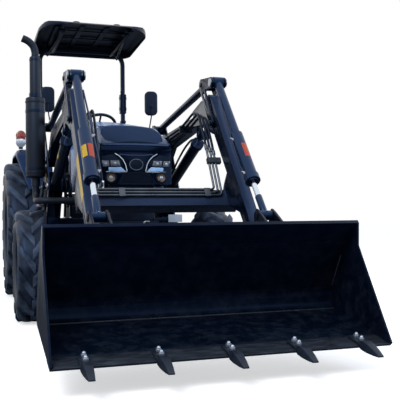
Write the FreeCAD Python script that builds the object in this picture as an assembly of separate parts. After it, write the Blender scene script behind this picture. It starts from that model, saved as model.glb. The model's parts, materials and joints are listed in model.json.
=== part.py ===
import FreeCAD, Part
import math
import os

# Compact utility tractor with a self-levelling front loader.
# Millimetres. +Z up, the machine drives towards -Y, +X is its left side.
# Every place is first given from the ground point under the middle of the rear axle.
# The whole machine is then moved along Y, so that its origin lies mid-length on the ground.

# ---- running gear
wheelbase = 1990.0
rear_tyre_radius = 680.0
rear_tyre_width = 350.0
rear_rim_radius = 356.0
rear_wheel_centre = 660.0
front_tyre_radius = 425.0
front_tyre_width = 220.0
front_rim_radius = 205.0
front_wheel_centre = 740.0
tyre_corner = 45.0
rear_lug_height = 36.0
rear_lug_count = 17
front_lug_height = 26.0
front_lug_count = 13
rim_wall = 14.0
disc_thickness = 12.0
kingpin_x = 585.0
kingpin_radius = 22.0
hub_radius = 55.0
rear_hub_radius = 125.0
running_gap = 0.3
side_gap = 5.0

# ---- backbone: frame, engine, gearbox and axles
body_half_width = 170.0
frame_half_width = 180.0
frame_wall = 40.0
frame_front_y = -2380.0
frame_bottom_z = 520.0
frame_top_z = 760.0
engine_front_y = -1800.0
engine_rear_y = -1150.0
engine_bottom_z = 560.0
engine_top_z = 1180.0
gearbox_rear_y = -300.0
gearbox_bottom_z = 480.0
axle_case_half_width = 190.0
axle_case_rear_y = 250.0
axle_case_top_z = 900.0
trumpet_half = 75.0
trumpet_end_x = 470.0
knuckle_arm_radius = 50.0
beam_half_depth = 55.0
beam_pin_radius = 25.0

# ---- platform, seat and controls
floor_z = 760.0
floor_thickness = 10.0
floor_front_y = -1100.0
floor_half_width = 400.0
step_z = 430.0
step_width = 190.0
seat_half_width = 230.0
seat_front_y = -250.0
seat_rear_y = 160.0
cushion_thickness = 110.0
back_thickness = 110.0
back_height = 400.0
seat_base_height = 150.0
dash_front_y = -1000.0
dash_depth = 140.0
steering_wheel_y = -840.0
steering_wheel_z = 1665.0
steering_wheel_radius = 172.0
steering_tube_radius = 14.0
steering_tilt = 35.0

# ---- hood and nose
hood_wall = 8.0
hood_crown = 14.0
hood_bottom_z = 1030.0
hood_rear_half_width = 290.0
hood_rear_shoulder_z = 1500.0
hood_rear_top_z = 1670.0
hood_rear_top_half = 230.0
hood_front_y = -2130.0
hood_front_half_width = 278.0
hood_front_shoulder_z = 1376.0
hood_front_top_z = 1490.0
hood_front_top_half = 210.0
nose_front_y = -2425.0
nose_half_width = 270.0
nose_crease_z = 1330.0
lamp_depth = 15.0
lamp_inner_x = 105.0
lamp_outer_x = 258.0
lamp_bottom_z = 1198.0
lamp_top_z = 1300.0
fog_lamp_x = 190.0
fog_lamp_z = 1092.0
fog_lamp_radius = 40.0
grille_half_width = 115.0
grille_bottom_z = 1032.0
grille_top_z = 1150.0

# ---- fenders, roll bar and canopy
fender_top_z = 1482.0
fender_outer_x = 740.0
fender_wall = 8.0
fender_flat_half = 350.0
fender_front_y = -620.0
fender_front_z = 1070.0
fender_rear_y = 640.0
fender_rear_z = 1130.0
tail_lamp_radius = 50.0
post_x = 447.0
post_width = 60.0
post_depth = 50.0
post_y = 220.0
post_top_z = 2637.0
post_corner = 130.0
fold_z = 2030.0
fold_half_height = 100.0
canopy_half_width = 535.0
canopy_front_y = -905.0
canopy_rear_y = 312.0
canopy_rim_z = post_top_z - 62
canopy_front_rise = 50.0
canopy_top_z = post_top_z + 48
canopy_side_height = 65.0
canopy_wall = 12.0
canopy_front_corner = 380.0
canopy_rear_corner = 170.0
rail_x = 300.0
rail_width = 36.0

# ---- exhaust and mirrors
exhaust_x = -646.0
exhaust_y = -1453.0
muffler_radius = 80.0
muffler_bottom_z = 1130.0
muffler_top_z = 1810.0
exhaust_radius = 27.0
outlet_radius = 46.0
riser_top_z = 2160.0
tip_radius = 31.0
outlet_z = 2215.0
mirror_x = 500.0
mirror_y = -950.0
mirror_z = 1880.0
mirror_width = 130.0
mirror_height = 240.0
stalk_radius = 8.0

# ---- loader
arm_x = 500.0
arm_width = 72.0
plate_thickness = 12.0
boom_pivot = (-1420.0, 1280.0)
boom_shoulder = (-1650.0, 1448.0)
boom_neck = (-2380.0, 1508.0)
boom_knee = (-2740.0, 1600.0)
bucket_pivot = (-3660.0, 500.0)
rod_eye = (-3660.0, 790.0)
tilt_base = (-2840.0, 1735.0)
levelling_offset = (220.0, 310.0)
lift_base = (-1580.0, 1055.0)
lift_eye = (-2500.0, 1400.0)
boom_half_depth = 65.0
boom_neck_half_depth = 42.0
boom_tip_half_depth = 42.0
loader_pin = 20.0
levelling_pin = 16.0
tilt_rod_radius = 17.0
tilt_barrel_radius = 42.0
tilt_neck_radius = 29.0
tilt_neck_length = 549.0
tilt_barrel_end = 971.0
lift_rod_radius = 18.0
lift_barrel_radius = 41.0
lift_barrel_length = 850.0
levelling_rod_radius = 28.0
levelling_eye_half = arm_width / 2 + side_gap - 1
torque_tube_edge = (-3140.0, 862.0)
torque_tube_top = (-3075.0, 965.0)
torque_tube_depth = 88.0
line_radius = 8.0
line_pitch = 23.0
line_x = 426.0
mast_bottom_z = 660.0
mast_front_y = -1440.0
mast_rear_y = -1140.0

# ---- bucket, measured on its own floor: forward from the cutting edge and up from the floor
bucket_half_width = 848.0
bucket_tip_angle = 10.3
bucket_plate = 10.0
bucket_floor = 626.0
bucket_pivot_back = 834.0
bucket_pivot_up = 216.0
bucket_heel = (-642.0, 97.0)
bucket_shoulder = (-515.0, 423.0)
bucket_top = (-405.0, 541.0)
bucket_knee = (-387.0, 420.0)
heel_radius = 120.0
shoulder_radius = 200.0
edge_depth = 140.0
edge_thickness = 16.0
tooth_reach = 154.0
tooth_pitch = 345.0
tooth_count = 5
tooth_width = 60.0
tooth_seat = 110.0
lip_depth = 70.0
ear_thickness = 15.0

# ---- three-point hitch
link_pivot_y = 120.0
link_pivot_z = 430.0
link_x = 230.0
link_length = 800.0
link_thickness = 22.0
ball_radius = 30.0
ball_bore = 11.2
ball_width = 35.0
rockshaft_y = 150.0
rockshaft_z = 985.0
rockshaft_radius = 32.0
lift_arm_x = 268.0
lift_arm_length = 260.0
rod_foot_along = 360.0
top_link_z = 830.0
top_link_length = 600.0
drawbar_length = 420.0
drawbar_z = 400.0
drawbar_hole = 13.0
pto_radius = 17.5
pto_z = 560.0

front_axle_y = -wheelbase
left = 1.0
right = -1.0


def vec(x, y, z):
    return FreeCAD.Vector(x, y, z)


def towards(start, end, length):
    span = math.dist(start, end)
    return tuple(a + (b - a) * length / span for a, b in zip(start, end))


def box(x_range, y_range, z_range):
    x0, x1 = sorted(x_range)
    y0, y1 = sorted(y_range)
    z0, z1 = sorted(z_range)
    return Part.makeBox(x1 - x0, y1 - y0, z1 - z0, vec(x0, y0, z0))


def joined(shapes):
    return shapes[0].multiFuse(shapes[1:]).removeSplitter()


def apart(shapes):
    return Part.makeCompound(shapes)


def both_sides(shape):
    return apart([shape, shape.mirror(vec(0, 0, 0), vec(1, 0, 0))])


def on_side(shape, side):
    return shape if side > 0 else shape.mirror(vec(0, 0, 0), vec(1, 0, 0))


def side_plate(points, x_range):
    """Flat plate across X with its outline given as (y, z) points."""
    x0, x1 = sorted(x_range)
    corners = [vec(x0, y, z) for y, z in points]
    face = Part.Face(Part.makePolygon(corners + corners[:1]))
    return face.extrude(vec(x1 - x0, 0, 0))


def cross_prism(points, y_range):
    """Prism along Y with its section given as (x, z) points."""
    y0, y1 = sorted(y_range)
    corners = [vec(x, y0, z) for x, z in points]
    face = Part.Face(Part.makePolygon(corners + corners[:1]))
    return face.extrude(vec(0, y1 - y0, 0))


def round_x(centre, radius, x_range):
    """Cylinder along X about a (y, z) centre."""
    x0, x1 = sorted(x_range)
    return Part.makeCylinder(radius, x1 - x0, vec(x0, centre[0], centre[1]), vec(1, 0, 0))


def round_y(x, z, radius, y_range):
    y0, y1 = sorted(y_range)
    return Part.makeCylinder(radius, y1 - y0, vec(x, y0, z), vec(0, 1, 0))


def round_z(x, y, radius, z_range):
    z0, z1 = sorted(z_range)
    return Part.makeCylinder(radius, z1 - z0, vec(x, y, z0), vec(0, 0, 1))


def bar(start, end, radius):
    direction = end - start
    return Part.makeCylinder(radius, direction.Length, start, direction)


def link_plate(start, end, start_radius, end_radius, x_range):
    """Plate with a round boss at each end, its edges running from boss to boss."""
    span = math.dist(start, end)
    normal = (-(end[1] - start[1]) / span, (end[0] - start[0]) / span)
    rim = []
    for point, radius, sign in ((start, start_radius, 1), (end, end_radius, 1),
                                (end, end_radius, -1), (start, start_radius, -1)):
        rim.append((point[0] + sign * radius * normal[0], point[1] + sign * radius * normal[1]))
    bosses = [round_x(start, start_radius, x_range), round_x(end, end_radius, x_range)]
    return joined([side_plate(rim, x_range)] + bosses)


def bend_edges(points, radii):
    """Straight edges with a tangent arc at each inner point of an open path."""
    edges = []
    start = points[0]
    for before, corner, after, radius in zip(points, points[1:], points[2:], radii):
        into = (before - corner).normalize()
        out = (after - corner).normalize()
        half = into.getAngle(out) / 2
        reach = radius / math.tan(half)
        first = corner + into * reach
        last = corner + out * reach
        middle_direction = (into + out).normalize()
        middle = corner + middle_direction * (radius / math.sin(half) - radius)
        if (first - start).Length > 1e-3:
            edges.append(Part.LineSegment(start, first).toShape())
        edges.append(Part.Arc(first, middle, last).toShape())
        start = last
    edges.append(Part.LineSegment(start, points[-1]).toShape())
    return edges


def pipe(points, bend_radius, tube_radius):
    """Round pipe along straight runs joined by tangent arcs."""
    path = Part.Wire(bend_edges(points, [bend_radius] * (len(points) - 2)))
    direction = points[1] - points[0]
    ring = Part.Wire(Part.Circle(points[0], direction, tube_radius).toShape())
    return path.makePipeShell([ring], True, False)


def offset_corners(points, distance):
    """Corners of a (a, b) path moved to its right by a distance, with mitred corners."""
    normals = []
    for start, end in zip(points, points[1:]):
        span = math.dist(start, end)
        normals.append(((end[1] - start[1]) / span, -(end[0] - start[0]) / span))
    moved = [(points[0][0] + normals[0][0] * distance, points[0][1] + normals[0][1] * distance)]
    for point, one, two in zip(points[1:], normals, normals[1:]):
        scale = distance / (1 + one[0] * two[0] + one[1] * two[1])
        moved.append((point[0] + (one[0] + two[0]) * scale, point[1] + (one[1] + two[1]) * scale))
    last = points[-1]
    moved.append((last[0] + normals[-1][0] * distance, last[1] + normals[-1][1] * distance))
    return moved


def bent_plate(points, radii, thickness, place, sweep):
    """Plate folded along a path: the inner bends have the radii, the outer ones are thicker.
    place turns an (a, b) pair into a point and sweep is the way and length of the extrusion."""
    inner = [place(point) for point in points]
    outer = [place(point) for point in offset_corners(points, thickness)]
    inner_edges = bend_edges(inner, radii)
    outer_edges = bend_edges(outer, [radius + thickness for radius in radii])
    caps = [Part.LineSegment(inner[0], outer[0]).toShape(),
            Part.LineSegment(inner[-1], outer[-1]).toShape()]
    wire = Part.Wire(Part.__sortEdges__(inner_edges + outer_edges + caps))
    return Part.Face(wire).extrude(sweep)


# ---------------------------------------------------------------- backbone

def front_frame():
    half = frame_half_width
    outer = box((-half, half), (frame_front_y, engine_front_y), (frame_bottom_z, frame_top_z))
    inner = box((-half + frame_wall, half - frame_wall),
                (frame_front_y + frame_wall, engine_front_y),
                (frame_bottom_z, frame_top_z - frame_wall / 2))
    rails = outer.cut(inner)
    saddles = []
    for side in (-1, 1):
        near = front_axle_y + side * (beam_half_depth + side_gap)
        far = near + side * frame_wall
        saddles.append(box((-half, half), (near, far), (rear_pin_z() - 60, frame_top_z - frame_wall)))
    body = joined([rails] + saddles)
    return body.cut(round_y(0, rear_pin_z(), beam_pin_radius + running_gap, (-3000, -1000)))


def rear_pin_z():
    return front_tyre_radius + 15.0


def front_axle():
    z = front_tyre_radius
    beam_half_length = kingpin_x - knuckle_arm_radius - side_gap - 10
    beam = box((-beam_half_length, beam_half_length),
               (front_axle_y - beam_half_depth, front_axle_y + beam_half_depth),
               (z - beam_half_depth, z + beam_half_depth))
    reach = beam_half_depth + side_gap + frame_wall
    pin = round_y(0, rear_pin_z(), beam_pin_radius, (front_axle_y - reach, front_axle_y + reach))
    casing = round_y(0, z, 95.0, (front_axle_y - beam_half_depth, front_axle_y + beam_half_depth))
    pieces = [beam, pin, casing]
    for side in (-1, 1):
        x = side * kingpin_x
        pieces.append(round_z(x, front_axle_y, beam_half_depth, (z - 45, z + 45)))
        pieces.append(box((side * (beam_half_length - 10), x),
                          (front_axle_y - beam_half_depth, front_axle_y + beam_half_depth),
                          (z - 45, z + 45)))
        pieces.append(round_z(x, front_axle_y, kingpin_radius, (z - 80, z + 80)))
    return joined(pieces)


def knuckle(side):
    z = front_tyre_radius
    gap = 45 + side_gap
    arm = 30.0
    web_x = kingpin_x + beam_half_depth + 12
    arm_y = (front_axle_y - knuckle_arm_radius, front_axle_y + knuckle_arm_radius)
    pieces = []
    for low in (z + gap, z - gap - arm):
        pieces.append(round_z(kingpin_x, front_axle_y, knuckle_arm_radius, (low, low + arm)))
        pieces.append(box((kingpin_x, web_x + 18), arm_y, (low, low + arm)))
    pieces.append(box((web_x, web_x + 18), arm_y,
                      (z - gap - arm, z + gap + arm)))
    pieces.append(round_x((front_axle_y, z), hub_radius, (web_x, disc_inner_x() - running_gap)))
    pieces.append(round_x((front_axle_y, z), 30.0, (web_x, disc_inner_x() + disc_thickness + 12)))
    body = joined(pieces)
    body = body.cut(round_z(kingpin_x, front_axle_y, kingpin_radius + running_gap, (z - 200, z + 200)))
    return on_side(body, side)


def disc_inner_x():
    return front_wheel_centre - 15.0


def engine_block():
    return box((-body_half_width, body_half_width), (engine_front_y, engine_rear_y),
               (engine_bottom_z, engine_top_z))


def transmission_housing():
    return box((-body_half_width, body_half_width), (engine_rear_y, gearbox_rear_y),
               (gearbox_bottom_z, floor_z))


def rear_axle():
    half = axle_case_half_width
    z = rear_tyre_radius
    pieces = [box((-half, half), (gearbox_rear_y, axle_case_rear_y), (gearbox_bottom_z, floor_z)),
              box((-half, half), (-100, axle_case_rear_y), (floor_z, axle_case_top_z)),
              box((-half, half), (60, axle_case_rear_y), (axle_case_top_z, rockshaft_z + 60))]
    for side in (-1, 1):
        pieces.append(box((0, side * trumpet_end_x), (-trumpet_half, trumpet_half),
                          (z - trumpet_half, z + trumpet_half)))
        pieces.append(round_x((0, z), 62.0, (side * (trumpet_end_x - 10), side * rear_flange_x())))
        pieces.append(round_x((0, z), rear_hub_radius, (side * (rear_flange_x() - 30),
                                                        side * rear_flange_x())))
    pieces.append(round_y(0, pto_z, pto_radius, (axle_case_rear_y - 10, axle_case_rear_y + 75)))
    for side in (-1, 1):
        x = side * (link_x + link_thickness / 2 + running_gap)
        pieces.append(box((side * (half - 10), side * (half + 22)),
                          (link_pivot_y - 35, link_pivot_y + 35), (link_pivot_z - 35, z)))
        pieces.append(round_x((link_pivot_y, link_pivot_z), 14.0, (side * half, x + side * 8)))
    body = joined(pieces)
    shaft_hole = round_x((rockshaft_y, rockshaft_z), rockshaft_radius + running_gap, (-400, 400))
    return body.cut(shaft_hole)


def rear_flange_x():
    return rear_wheel_centre - 20.0 - running_gap


# ---------------------------------------------------------------- wheels

def tyre(centre_x, axle_y, radius, width, bead_radius, lug_height, lug_count):
    """Carcass of flat facets with two rows of slanted lugs fused to it."""
    half = width / 2
    crown = radius - lug_height
    side_radius = bead_radius + 0.55 * (radius - bead_radius)
    bead_half = half - 40
    outline = [(-bead_half, bead_radius), (-half, side_radius), (-half + 6, crown - 0.5 * tyre_corner),
               (-half + tyre_corner, crown), (half - tyre_corner, crown),
               (half - 6, crown - 0.5 * tyre_corner), (half, side_radius), (bead_half, bead_radius)]
    step = 360.0 / lug_count
    bead = (bead_radius + running_gap) / math.cos(math.pi / (2 * lug_count))
    outline[0] = (-bead_half, bead)
    outline[-1] = (bead_half, bead)
    carcass = faceted_ring(outline, 2 * lug_count)
    lugs = []
    for side in (-1, 1):
        for index in range(lug_count):
            lugs.append(tyre_lug(side, (index + 0.25 * side) * step, step, half, radius, crown))
    body = carcass.multiFuse(lugs)
    body.translate(vec(centre_x, axle_y, radius))
    return body


def faceted_ring(outline, count):
    """Ring about X made of flat facets, its closed section given as (x, radius) points."""
    rows = []
    for k in range(count):
        turn = 2 * math.pi * k / count
        rows.append([vec(x, r * math.sin(turn), r * math.cos(turn)) for x, r in outline])
    faces = []
    for one, two in zip(rows, rows[1:] + rows[:1]):
        for k in range(len(outline)):
            after = (k + 1) % len(outline)
            faces.append(Part.Face(Part.makePolygon([one[k], one[after], two[after], two[k], one[k]])))
    ring = Part.Solid(Part.Shell(faces))
    return ring if ring.Volume > 0 else ring.reversed()


def tyre_lug(side, angle, step, half, radius, crown):
    """Slanted bar from past the middle of the tread out to its shoulder."""
    def spot(across, turn, r):
        return vec(side * across, r * math.sin(turn), r * math.cos(turn))

    first = math.radians(angle)
    last = math.radians(angle + 0.85 * step)
    middle = (first + last) / 2
    inward = -spot(0, middle, 1.0)
    width = vec(0, math.cos(middle), -math.sin(middle)) * (0.34 * radius * math.radians(step))
    height = inward * (radius - crown + 22)
    start = spot(-8.0, first, radius) - width / 2
    reach = spot(half, last, radius - 16) - width / 2 - start
    top = [start, start + reach, start + reach + width, start + width]
    excess = max(math.hypot(corner.y, corner.z) for corner in top) - radius
    top = [corner + inward * excess for corner in top]
    foot = [corner + height for corner in top]
    rings = [top, foot] + [[top[k], top[(k + 1) % 4], foot[(k + 1) % 4], foot[k]] for k in range(4)]
    faces = [Part.Face(Part.makePolygon(ring + ring[:1])) for ring in rings]
    lug = Part.Solid(Part.Shell(faces))
    return lug if lug.Volume > 0 else lug.reversed()


def rim(centre_x, axle_y, axle_z, radius, half_width, disc_x, hole_radius, dish):
    """Rim: a barrel with a flange at each side, and a dished disc with a centre hole."""
    inner = radius - rim_wall
    centre = (axle_y, axle_z)
    barrel = round_x(centre, radius, (centre_x - half_width, centre_x + half_width))
    barrel = barrel.cut(round_x(centre, inner, (centre_x - half_width, centre_x + half_width)))
    disc = round_x(centre, inner + 2, (disc_x, disc_x + disc_thickness))
    cone_outline = [(disc_x, 0.62 * inner), (disc_x + dish, 0.55 * inner),
                    (disc_x + dish, 0.55 * inner - 14), (disc_x, 0.62 * inner - 14)]
    corners = [vec(x, axle_y, axle_z + r) for x, r in cone_outline]
    face = Part.Face(Part.makePolygon(corners + corners[:1]))
    cone = face.revolve(vec(0, axle_y, axle_z), vec(1, 0, 0), 360)
    body = joined([barrel, disc, cone])
    return body.cut(round_x(centre, hole_radius, (disc_x - 50, disc_x + 50)))


def rear_wheel(side):
    rubber = tyre(rear_wheel_centre, 0, rear_tyre_radius, rear_tyre_width, rear_rim_radius,
                  rear_lug_height, rear_lug_count)
    metal = rim(rear_wheel_centre, 0, rear_tyre_radius, rear_rim_radius, rear_tyre_width / 2 - 40,
                rear_flange_x() + running_gap, 60.0, 60.0)
    return on_side(rubber, side), on_side(metal, side)


def front_wheel(side):
    rubber = tyre(front_wheel_centre, front_axle_y, front_tyre_radius, front_tyre_width,
                  front_rim_radius, front_lug_height, front_lug_count)
    metal = rim(front_wheel_centre, front_axle_y, front_tyre_radius, front_rim_radius,
                front_tyre_width / 2 - 40, disc_inner_x(), 30.0 + running_gap, 35.0)
    return on_side(rubber, side), on_side(metal, side)


# ---------------------------------------------------------------- bodywork

def hood_section(half_width, top_half, bottom_z, shoulder_z, top_z, y, inset):
    """Closed section of the hood: straight sides, round shoulders and a crowned top."""
    side = half_width - inset
    low = vec(side, y, bottom_z)
    shoulder = vec(side, y, shoulder_z - inset / 2)
    edge = vec(top_half - inset / 2, y, top_z - inset)
    crown = vec(0, y, top_z - inset + hood_crown)
    swell = vec(edge.z - shoulder.z, 0, shoulder.x - edge.x).normalize() * (shoulder - edge).Length * 0.16
    middle = (shoulder + edge) / 2 + swell
    flip = [vec(-p.x, p.y, p.z) for p in (low, shoulder, middle, edge)]
    edges = [Part.LineSegment(low, shoulder), Part.Arc(shoulder, middle, edge), Part.Arc(edge, crown, flip[3]),
             Part.Arc(flip[3], flip[2], flip[1]), Part.LineSegment(flip[1], flip[0]),
             Part.LineSegment(flip[0], low)]
    return Part.Wire([edge.toShape() for edge in edges])


def hood_rear_section(y, inset, bottom_z):
    return hood_section(hood_rear_half_width, hood_rear_top_half, bottom_z, hood_rear_shoulder_z,
                        hood_rear_top_z, y, inset)


def hood_front_section(y, inset, bottom_z):
    return hood_section(hood_front_half_width, hood_front_top_half, bottom_z, hood_front_shoulder_z,
                        hood_front_top_z, y, inset)


def nose_section(y, inset, bottom_z):
    return hood_section(nose_half_width, nose_half_width - 6, bottom_z, nose_crease_z - 12,
                        nose_crease_z, y, inset)


def hood():
    outer = Part.makeLoft([hood_rear_section(dash_front_y, 0, hood_bottom_z),
                           hood_front_section(hood_front_y, 0, hood_bottom_z)], True, True)
    inner = Part.makeLoft([hood_rear_section(dash_front_y, hood_wall, hood_bottom_z - 10),
                           hood_front_section(hood_front_y, hood_wall, hood_bottom_z - 10)], True, True)
    return outer.cut(inner)


def nose():
    outer = Part.makeLoft([hood_front_section(hood_front_y, 0, hood_bottom_z),
                           nose_section(nose_front_y, 0, hood_bottom_z)], True, True)
    inner = Part.makeLoft([hood_front_section(hood_front_y, hood_wall, hood_bottom_z - 10),
                           nose_section(nose_front_y + hood_wall, hood_wall, hood_bottom_z - 10)],
                          True, True)
    return outer.cut(inner)


def headlamps():
    lamp = box((lamp_inner_x, lamp_outer_x), (nose_front_y - lamp_depth, nose_front_y),
               (lamp_bottom_z, lamp_top_z))
    return both_sides(lamp)


def fog_lamps():
    return both_sides(round_y(fog_lamp_x, fog_lamp_z, fog_lamp_radius,
                              (nose_front_y - lamp_depth, nose_front_y)))


def front_grille():
    """Trapezoid mesh panel in the lower nose."""
    wide = grille_half_width
    panel = cross_prism([(-wide * 0.75, grille_bottom_z), (wide * 0.75, grille_bottom_z),
                         (wide, grille_top_z), (-wide, grille_top_z)],
                        (nose_front_y - 8, nose_front_y))
    return panel


def radiator():
    half = body_half_width
    return box((-half, half), (frame_front_y + 90, frame_front_y + 190), (frame_top_z, engine_top_z + 120))


def dashboard():
    """Cowl behind the hood with the steering column, on a pedestal that stands on the floor."""
    rear = dash_front_y + dash_depth
    top = [(-hood_rear_half_width, hood_bottom_z), (-hood_rear_half_width, hood_rear_shoulder_z),
           (-hood_rear_top_half, hood_rear_top_z), (hood_rear_top_half, hood_rear_top_z),
           (hood_rear_half_width, hood_rear_shoulder_z), (hood_rear_half_width, hood_bottom_z)]
    cowl = cross_prism(top, (dash_front_y, rear))
    slope = side_plate([(dash_front_y + 20, hood_rear_top_z + 10), (rear + 10, hood_rear_top_z - 110),
                        (rear + 10, hood_rear_top_z + 10)], (-400, 400))
    cowl = cowl.cut(slope)
    pedestal = box((-160, 160), (dash_front_y, rear), (floor_z + floor_thickness, hood_bottom_z + 10))
    lean = math.radians(steering_tilt)
    axis = vec(0, math.sin(lean), math.cos(lean))
    centre = vec(0, steering_wheel_y, steering_wheel_z)
    column = bar(centre - axis * 190, centre - axis * (20 + running_gap), 30.0)
    return joined([cowl, pedestal, column])


def steering_wheel():
    lean = math.radians(steering_tilt)
    axis = vec(0, math.sin(lean), math.cos(lean))
    forward = vec(0, -math.cos(lean), math.sin(lean))
    centre = vec(0, steering_wheel_y, steering_wheel_z)
    ring = Part.makeTorus(steering_wheel_radius - steering_tube_radius, steering_tube_radius,
                          centre, axis)
    pieces = [ring, bar(centre - axis * 20, centre + axis * 12, 38.0)]
    for spoke in range(3):
        angle = math.radians(90 + 120 * spoke)
        direction = forward * math.sin(angle) + vec(1, 0, 0) * math.cos(angle)
        pieces.append(bar(centre, centre + direction * (steering_wheel_radius - steering_tube_radius), 9.0))
    return joined(pieces)


def platform():
    floor = box((-floor_half_width, floor_half_width), (floor_front_y, -100.0),
                (floor_z, floor_z + floor_thickness))
    pieces = [floor]
    for side in (-1, 1):
        inner = side * (floor_half_width - 20)
        outer = side * (floor_half_width - 20 + step_width)
        for y in (floor_front_y + 60, floor_front_y + 280):
            pieces.append(box((inner, inner + side * 20), (y, y + 20), (step_z, floor_z + 2)))
        pieces.append(box((inner, outer), (floor_front_y + 60, floor_front_y + 300),
                          (step_z - 14, step_z)))
    return joined(pieces)


def fenders():
    def place(point):
        return vec(floor_half_width, point[0], point[1])
    path = [(fender_rear_y, fender_rear_z), (fender_flat_half, fender_top_z),
            (-fender_flat_half, fender_top_z), (fender_front_y, fender_front_z)]
    arch = bent_plate(path, [90.0, 90.0], -fender_wall, place,
                      vec(fender_outer_x - floor_half_width, 0, 0))
    wall_bottom = floor_z + floor_thickness
    wall = side_plate([(fender_rear_y - 6, fender_rear_z), (fender_flat_half - 22, fender_top_z - 20),
                       (fender_flat_half - 90, fender_top_z - fender_wall + 1),
                       (-fender_flat_half + 90, fender_top_z - fender_wall + 1),
                       (-fender_flat_half + 22, fender_top_z - 20), (fender_front_y + 6, fender_front_z),
                       (fender_front_y + 60, wall_bottom), (fender_rear_y - 60, wall_bottom)],
                      (floor_half_width, floor_half_width + fender_wall))
    fender = joined([arch, wall])
    clear = side_gap
    slot = box((post_x - post_width / 2 - clear, post_x + post_width / 2 + clear),
               (post_y - post_depth / 2 - clear, post_y + post_depth / 2 + clear), (1300, 1600))
    axle = box((0, trumpet_end_x), (-trumpet_half - 2, trumpet_half + 2), (600, wall_bottom))
    return both_sides(fender.cut(slot).cut(axle))


def tail_lamps():
    x = fender_outer_x - tail_lamp_radius
    low_z = fender_top_z + 15 + tail_lamp_radius
    high_z = low_z + 70
    depth = (-315, -262)
    base = box((x - 14, x + 14), (-300, -275), (fender_top_z, low_z))
    lamp = round_y(x, low_z, tail_lamp_radius, depth)
    upper = round_y(x, high_z, tail_lamp_radius, depth)
    middle = box((x - tail_lamp_radius, x + tail_lamp_radius), depth, (low_z, high_z))
    return both_sides(joined([base, lamp, middle, upper]))


def seat_base():
    half = seat_half_width - 40
    return box((-half, half), (-100.0 - 150, -100.0), (floor_z + floor_thickness, seat_bottom_z()))


def seat_bottom_z():
    return axle_case_top_z + 20


def seat_cushion():
    return box((-seat_half_width, seat_half_width), (seat_front_y, seat_rear_y - 110),
               (seat_bottom_z(), seat_bottom_z() + cushion_thickness))


def seat_backrest():
    y = seat_rear_y - 110
    return box((-seat_half_width, seat_half_width), (y, y + back_thickness - 10),
               (rockshaft_z + 60, rockshaft_z + 60 + back_height))


def rops():
    """Two-post roll bar, with clamps at its fold and a foot on each half axle."""
    def place(point):
        return vec(point[0], post_y - post_depth / 2, point[1])
    inner_x = post_x - post_width / 2
    foot_z = rear_tyre_radius + trumpet_half
    path = [(-inner_x, foot_z), (-inner_x, post_top_z - post_width),
            (inner_x, post_top_z - post_width), (inner_x, foot_z)]
    hoop = bent_plate(path, [post_corner, post_corner], -post_width, place, vec(0, post_depth, 0))
    pieces = [hoop]
    for side in (-1, 1):
        x = (side * (post_x - post_width / 2), side * (post_x + post_width / 2))
        pieces.append(box(x, (-trumpet_half, post_y), (foot_z, foot_z + 30)))
        clamp_x = (side * (post_x - post_width / 2 - 6), side * (post_x + post_width / 2 + 6))
        pieces.append(box(clamp_x, (post_y - post_depth / 2 - 8, post_y + post_depth / 2 + 8),
                          (fold_z - fold_half_height, fold_z + fold_half_height)))
    return joined(pieces)


def canopy_body(inset):
    """Crowned roof: its front, side and plan outlines meet in one solid, each moved in by an inset."""
    half = canopy_half_width - inset
    top = canopy_top_z - inset
    side_top = canopy_rim_z + canopy_side_height - inset
    front = canopy_front_y + inset
    rear = canopy_rear_y - inset
    low = canopy_rim_z - 10 - inset
    section = cross_prism([(-half, low), (-half, side_top), (-half + 45, side_top + 25), (-half + 160, top - 8),
                           (0, top), (half - 160, top - 8), (half - 45, side_top + 25), (half, side_top),
                           (half, low)], (front, rear))
    profile = side_plate([(rear, low), (rear, side_top), (rear - 60, top - 18), (rear - 300, top),
                          (front + 380, top), (front + 160, top - 15), (front + 60, side_top + 8),
                          (front, side_top - 20), (front, low)], (-half, half))
    plan = box((-half, half), (front, rear), (low - 5, top + 5))
    corners = [edge for edge in plan.Edges if abs(edge.Vertexes[0].Z - edge.Vertexes[1].Z) > 30]
    fronts = [edge for edge in corners if edge.Vertexes[0].Y < 0]
    rears = [edge for edge in corners if edge.Vertexes[0].Y > 0]
    plan = plan.makeFillet(canopy_front_corner - inset, fronts)
    rears = [edge for edge in plan.Edges if abs(edge.Vertexes[0].Z - edge.Vertexes[1].Z) > 30
             and abs(edge.Vertexes[0].Y - rear) < 1 and abs(abs(edge.Vertexes[0].X) - half) < 1]
    plan = plan.makeFillet(canopy_rear_corner - inset, rears)
    return section.common(profile).common(plan)


def canopy():
    """Moulded sun roof, open underneath, its rim rising towards the front."""
    rim = side_plate([(canopy_rear_y + 5, canopy_rim_z), (canopy_front_y - 5, canopy_rim_z + canopy_front_rise),
                      (canopy_front_y - 5, canopy_rim_z - 100), (canopy_rear_y + 5, canopy_rim_z - 100)],
                     (-canopy_half_width - 5, canopy_half_width + 5))
    return canopy_body(0).cut(canopy_body(canopy_wall)).cut(rim)


def canopy_brackets():
    """Two rails from the roll bar's cross tube, with pads under the roof."""
    front = post_y - post_depth / 2
    ceiling = canopy_ceiling_z()
    rail = box((rail_x, rail_x + rail_width), (canopy_front_y + 200, front),
               (post_top_z - post_width, post_top_z - post_width + 30))
    pads = [rail]
    for y in (canopy_front_y + 400, -100.0):
        pads.append(box((rail_x, rail_x + rail_width), (y, y + 60),
                        (post_top_z - post_width, ceiling)))
    return both_sides(joined(pads))


def canopy_ceiling_z():
    """Height of the roof's underside over the rails' outer edge."""
    half = canopy_half_width - canopy_wall
    flat_start = half - 160
    drop = 8.0 * (rail_x + rail_width) / flat_start
    return canopy_top_z - canopy_wall - drop - running_gap


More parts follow.
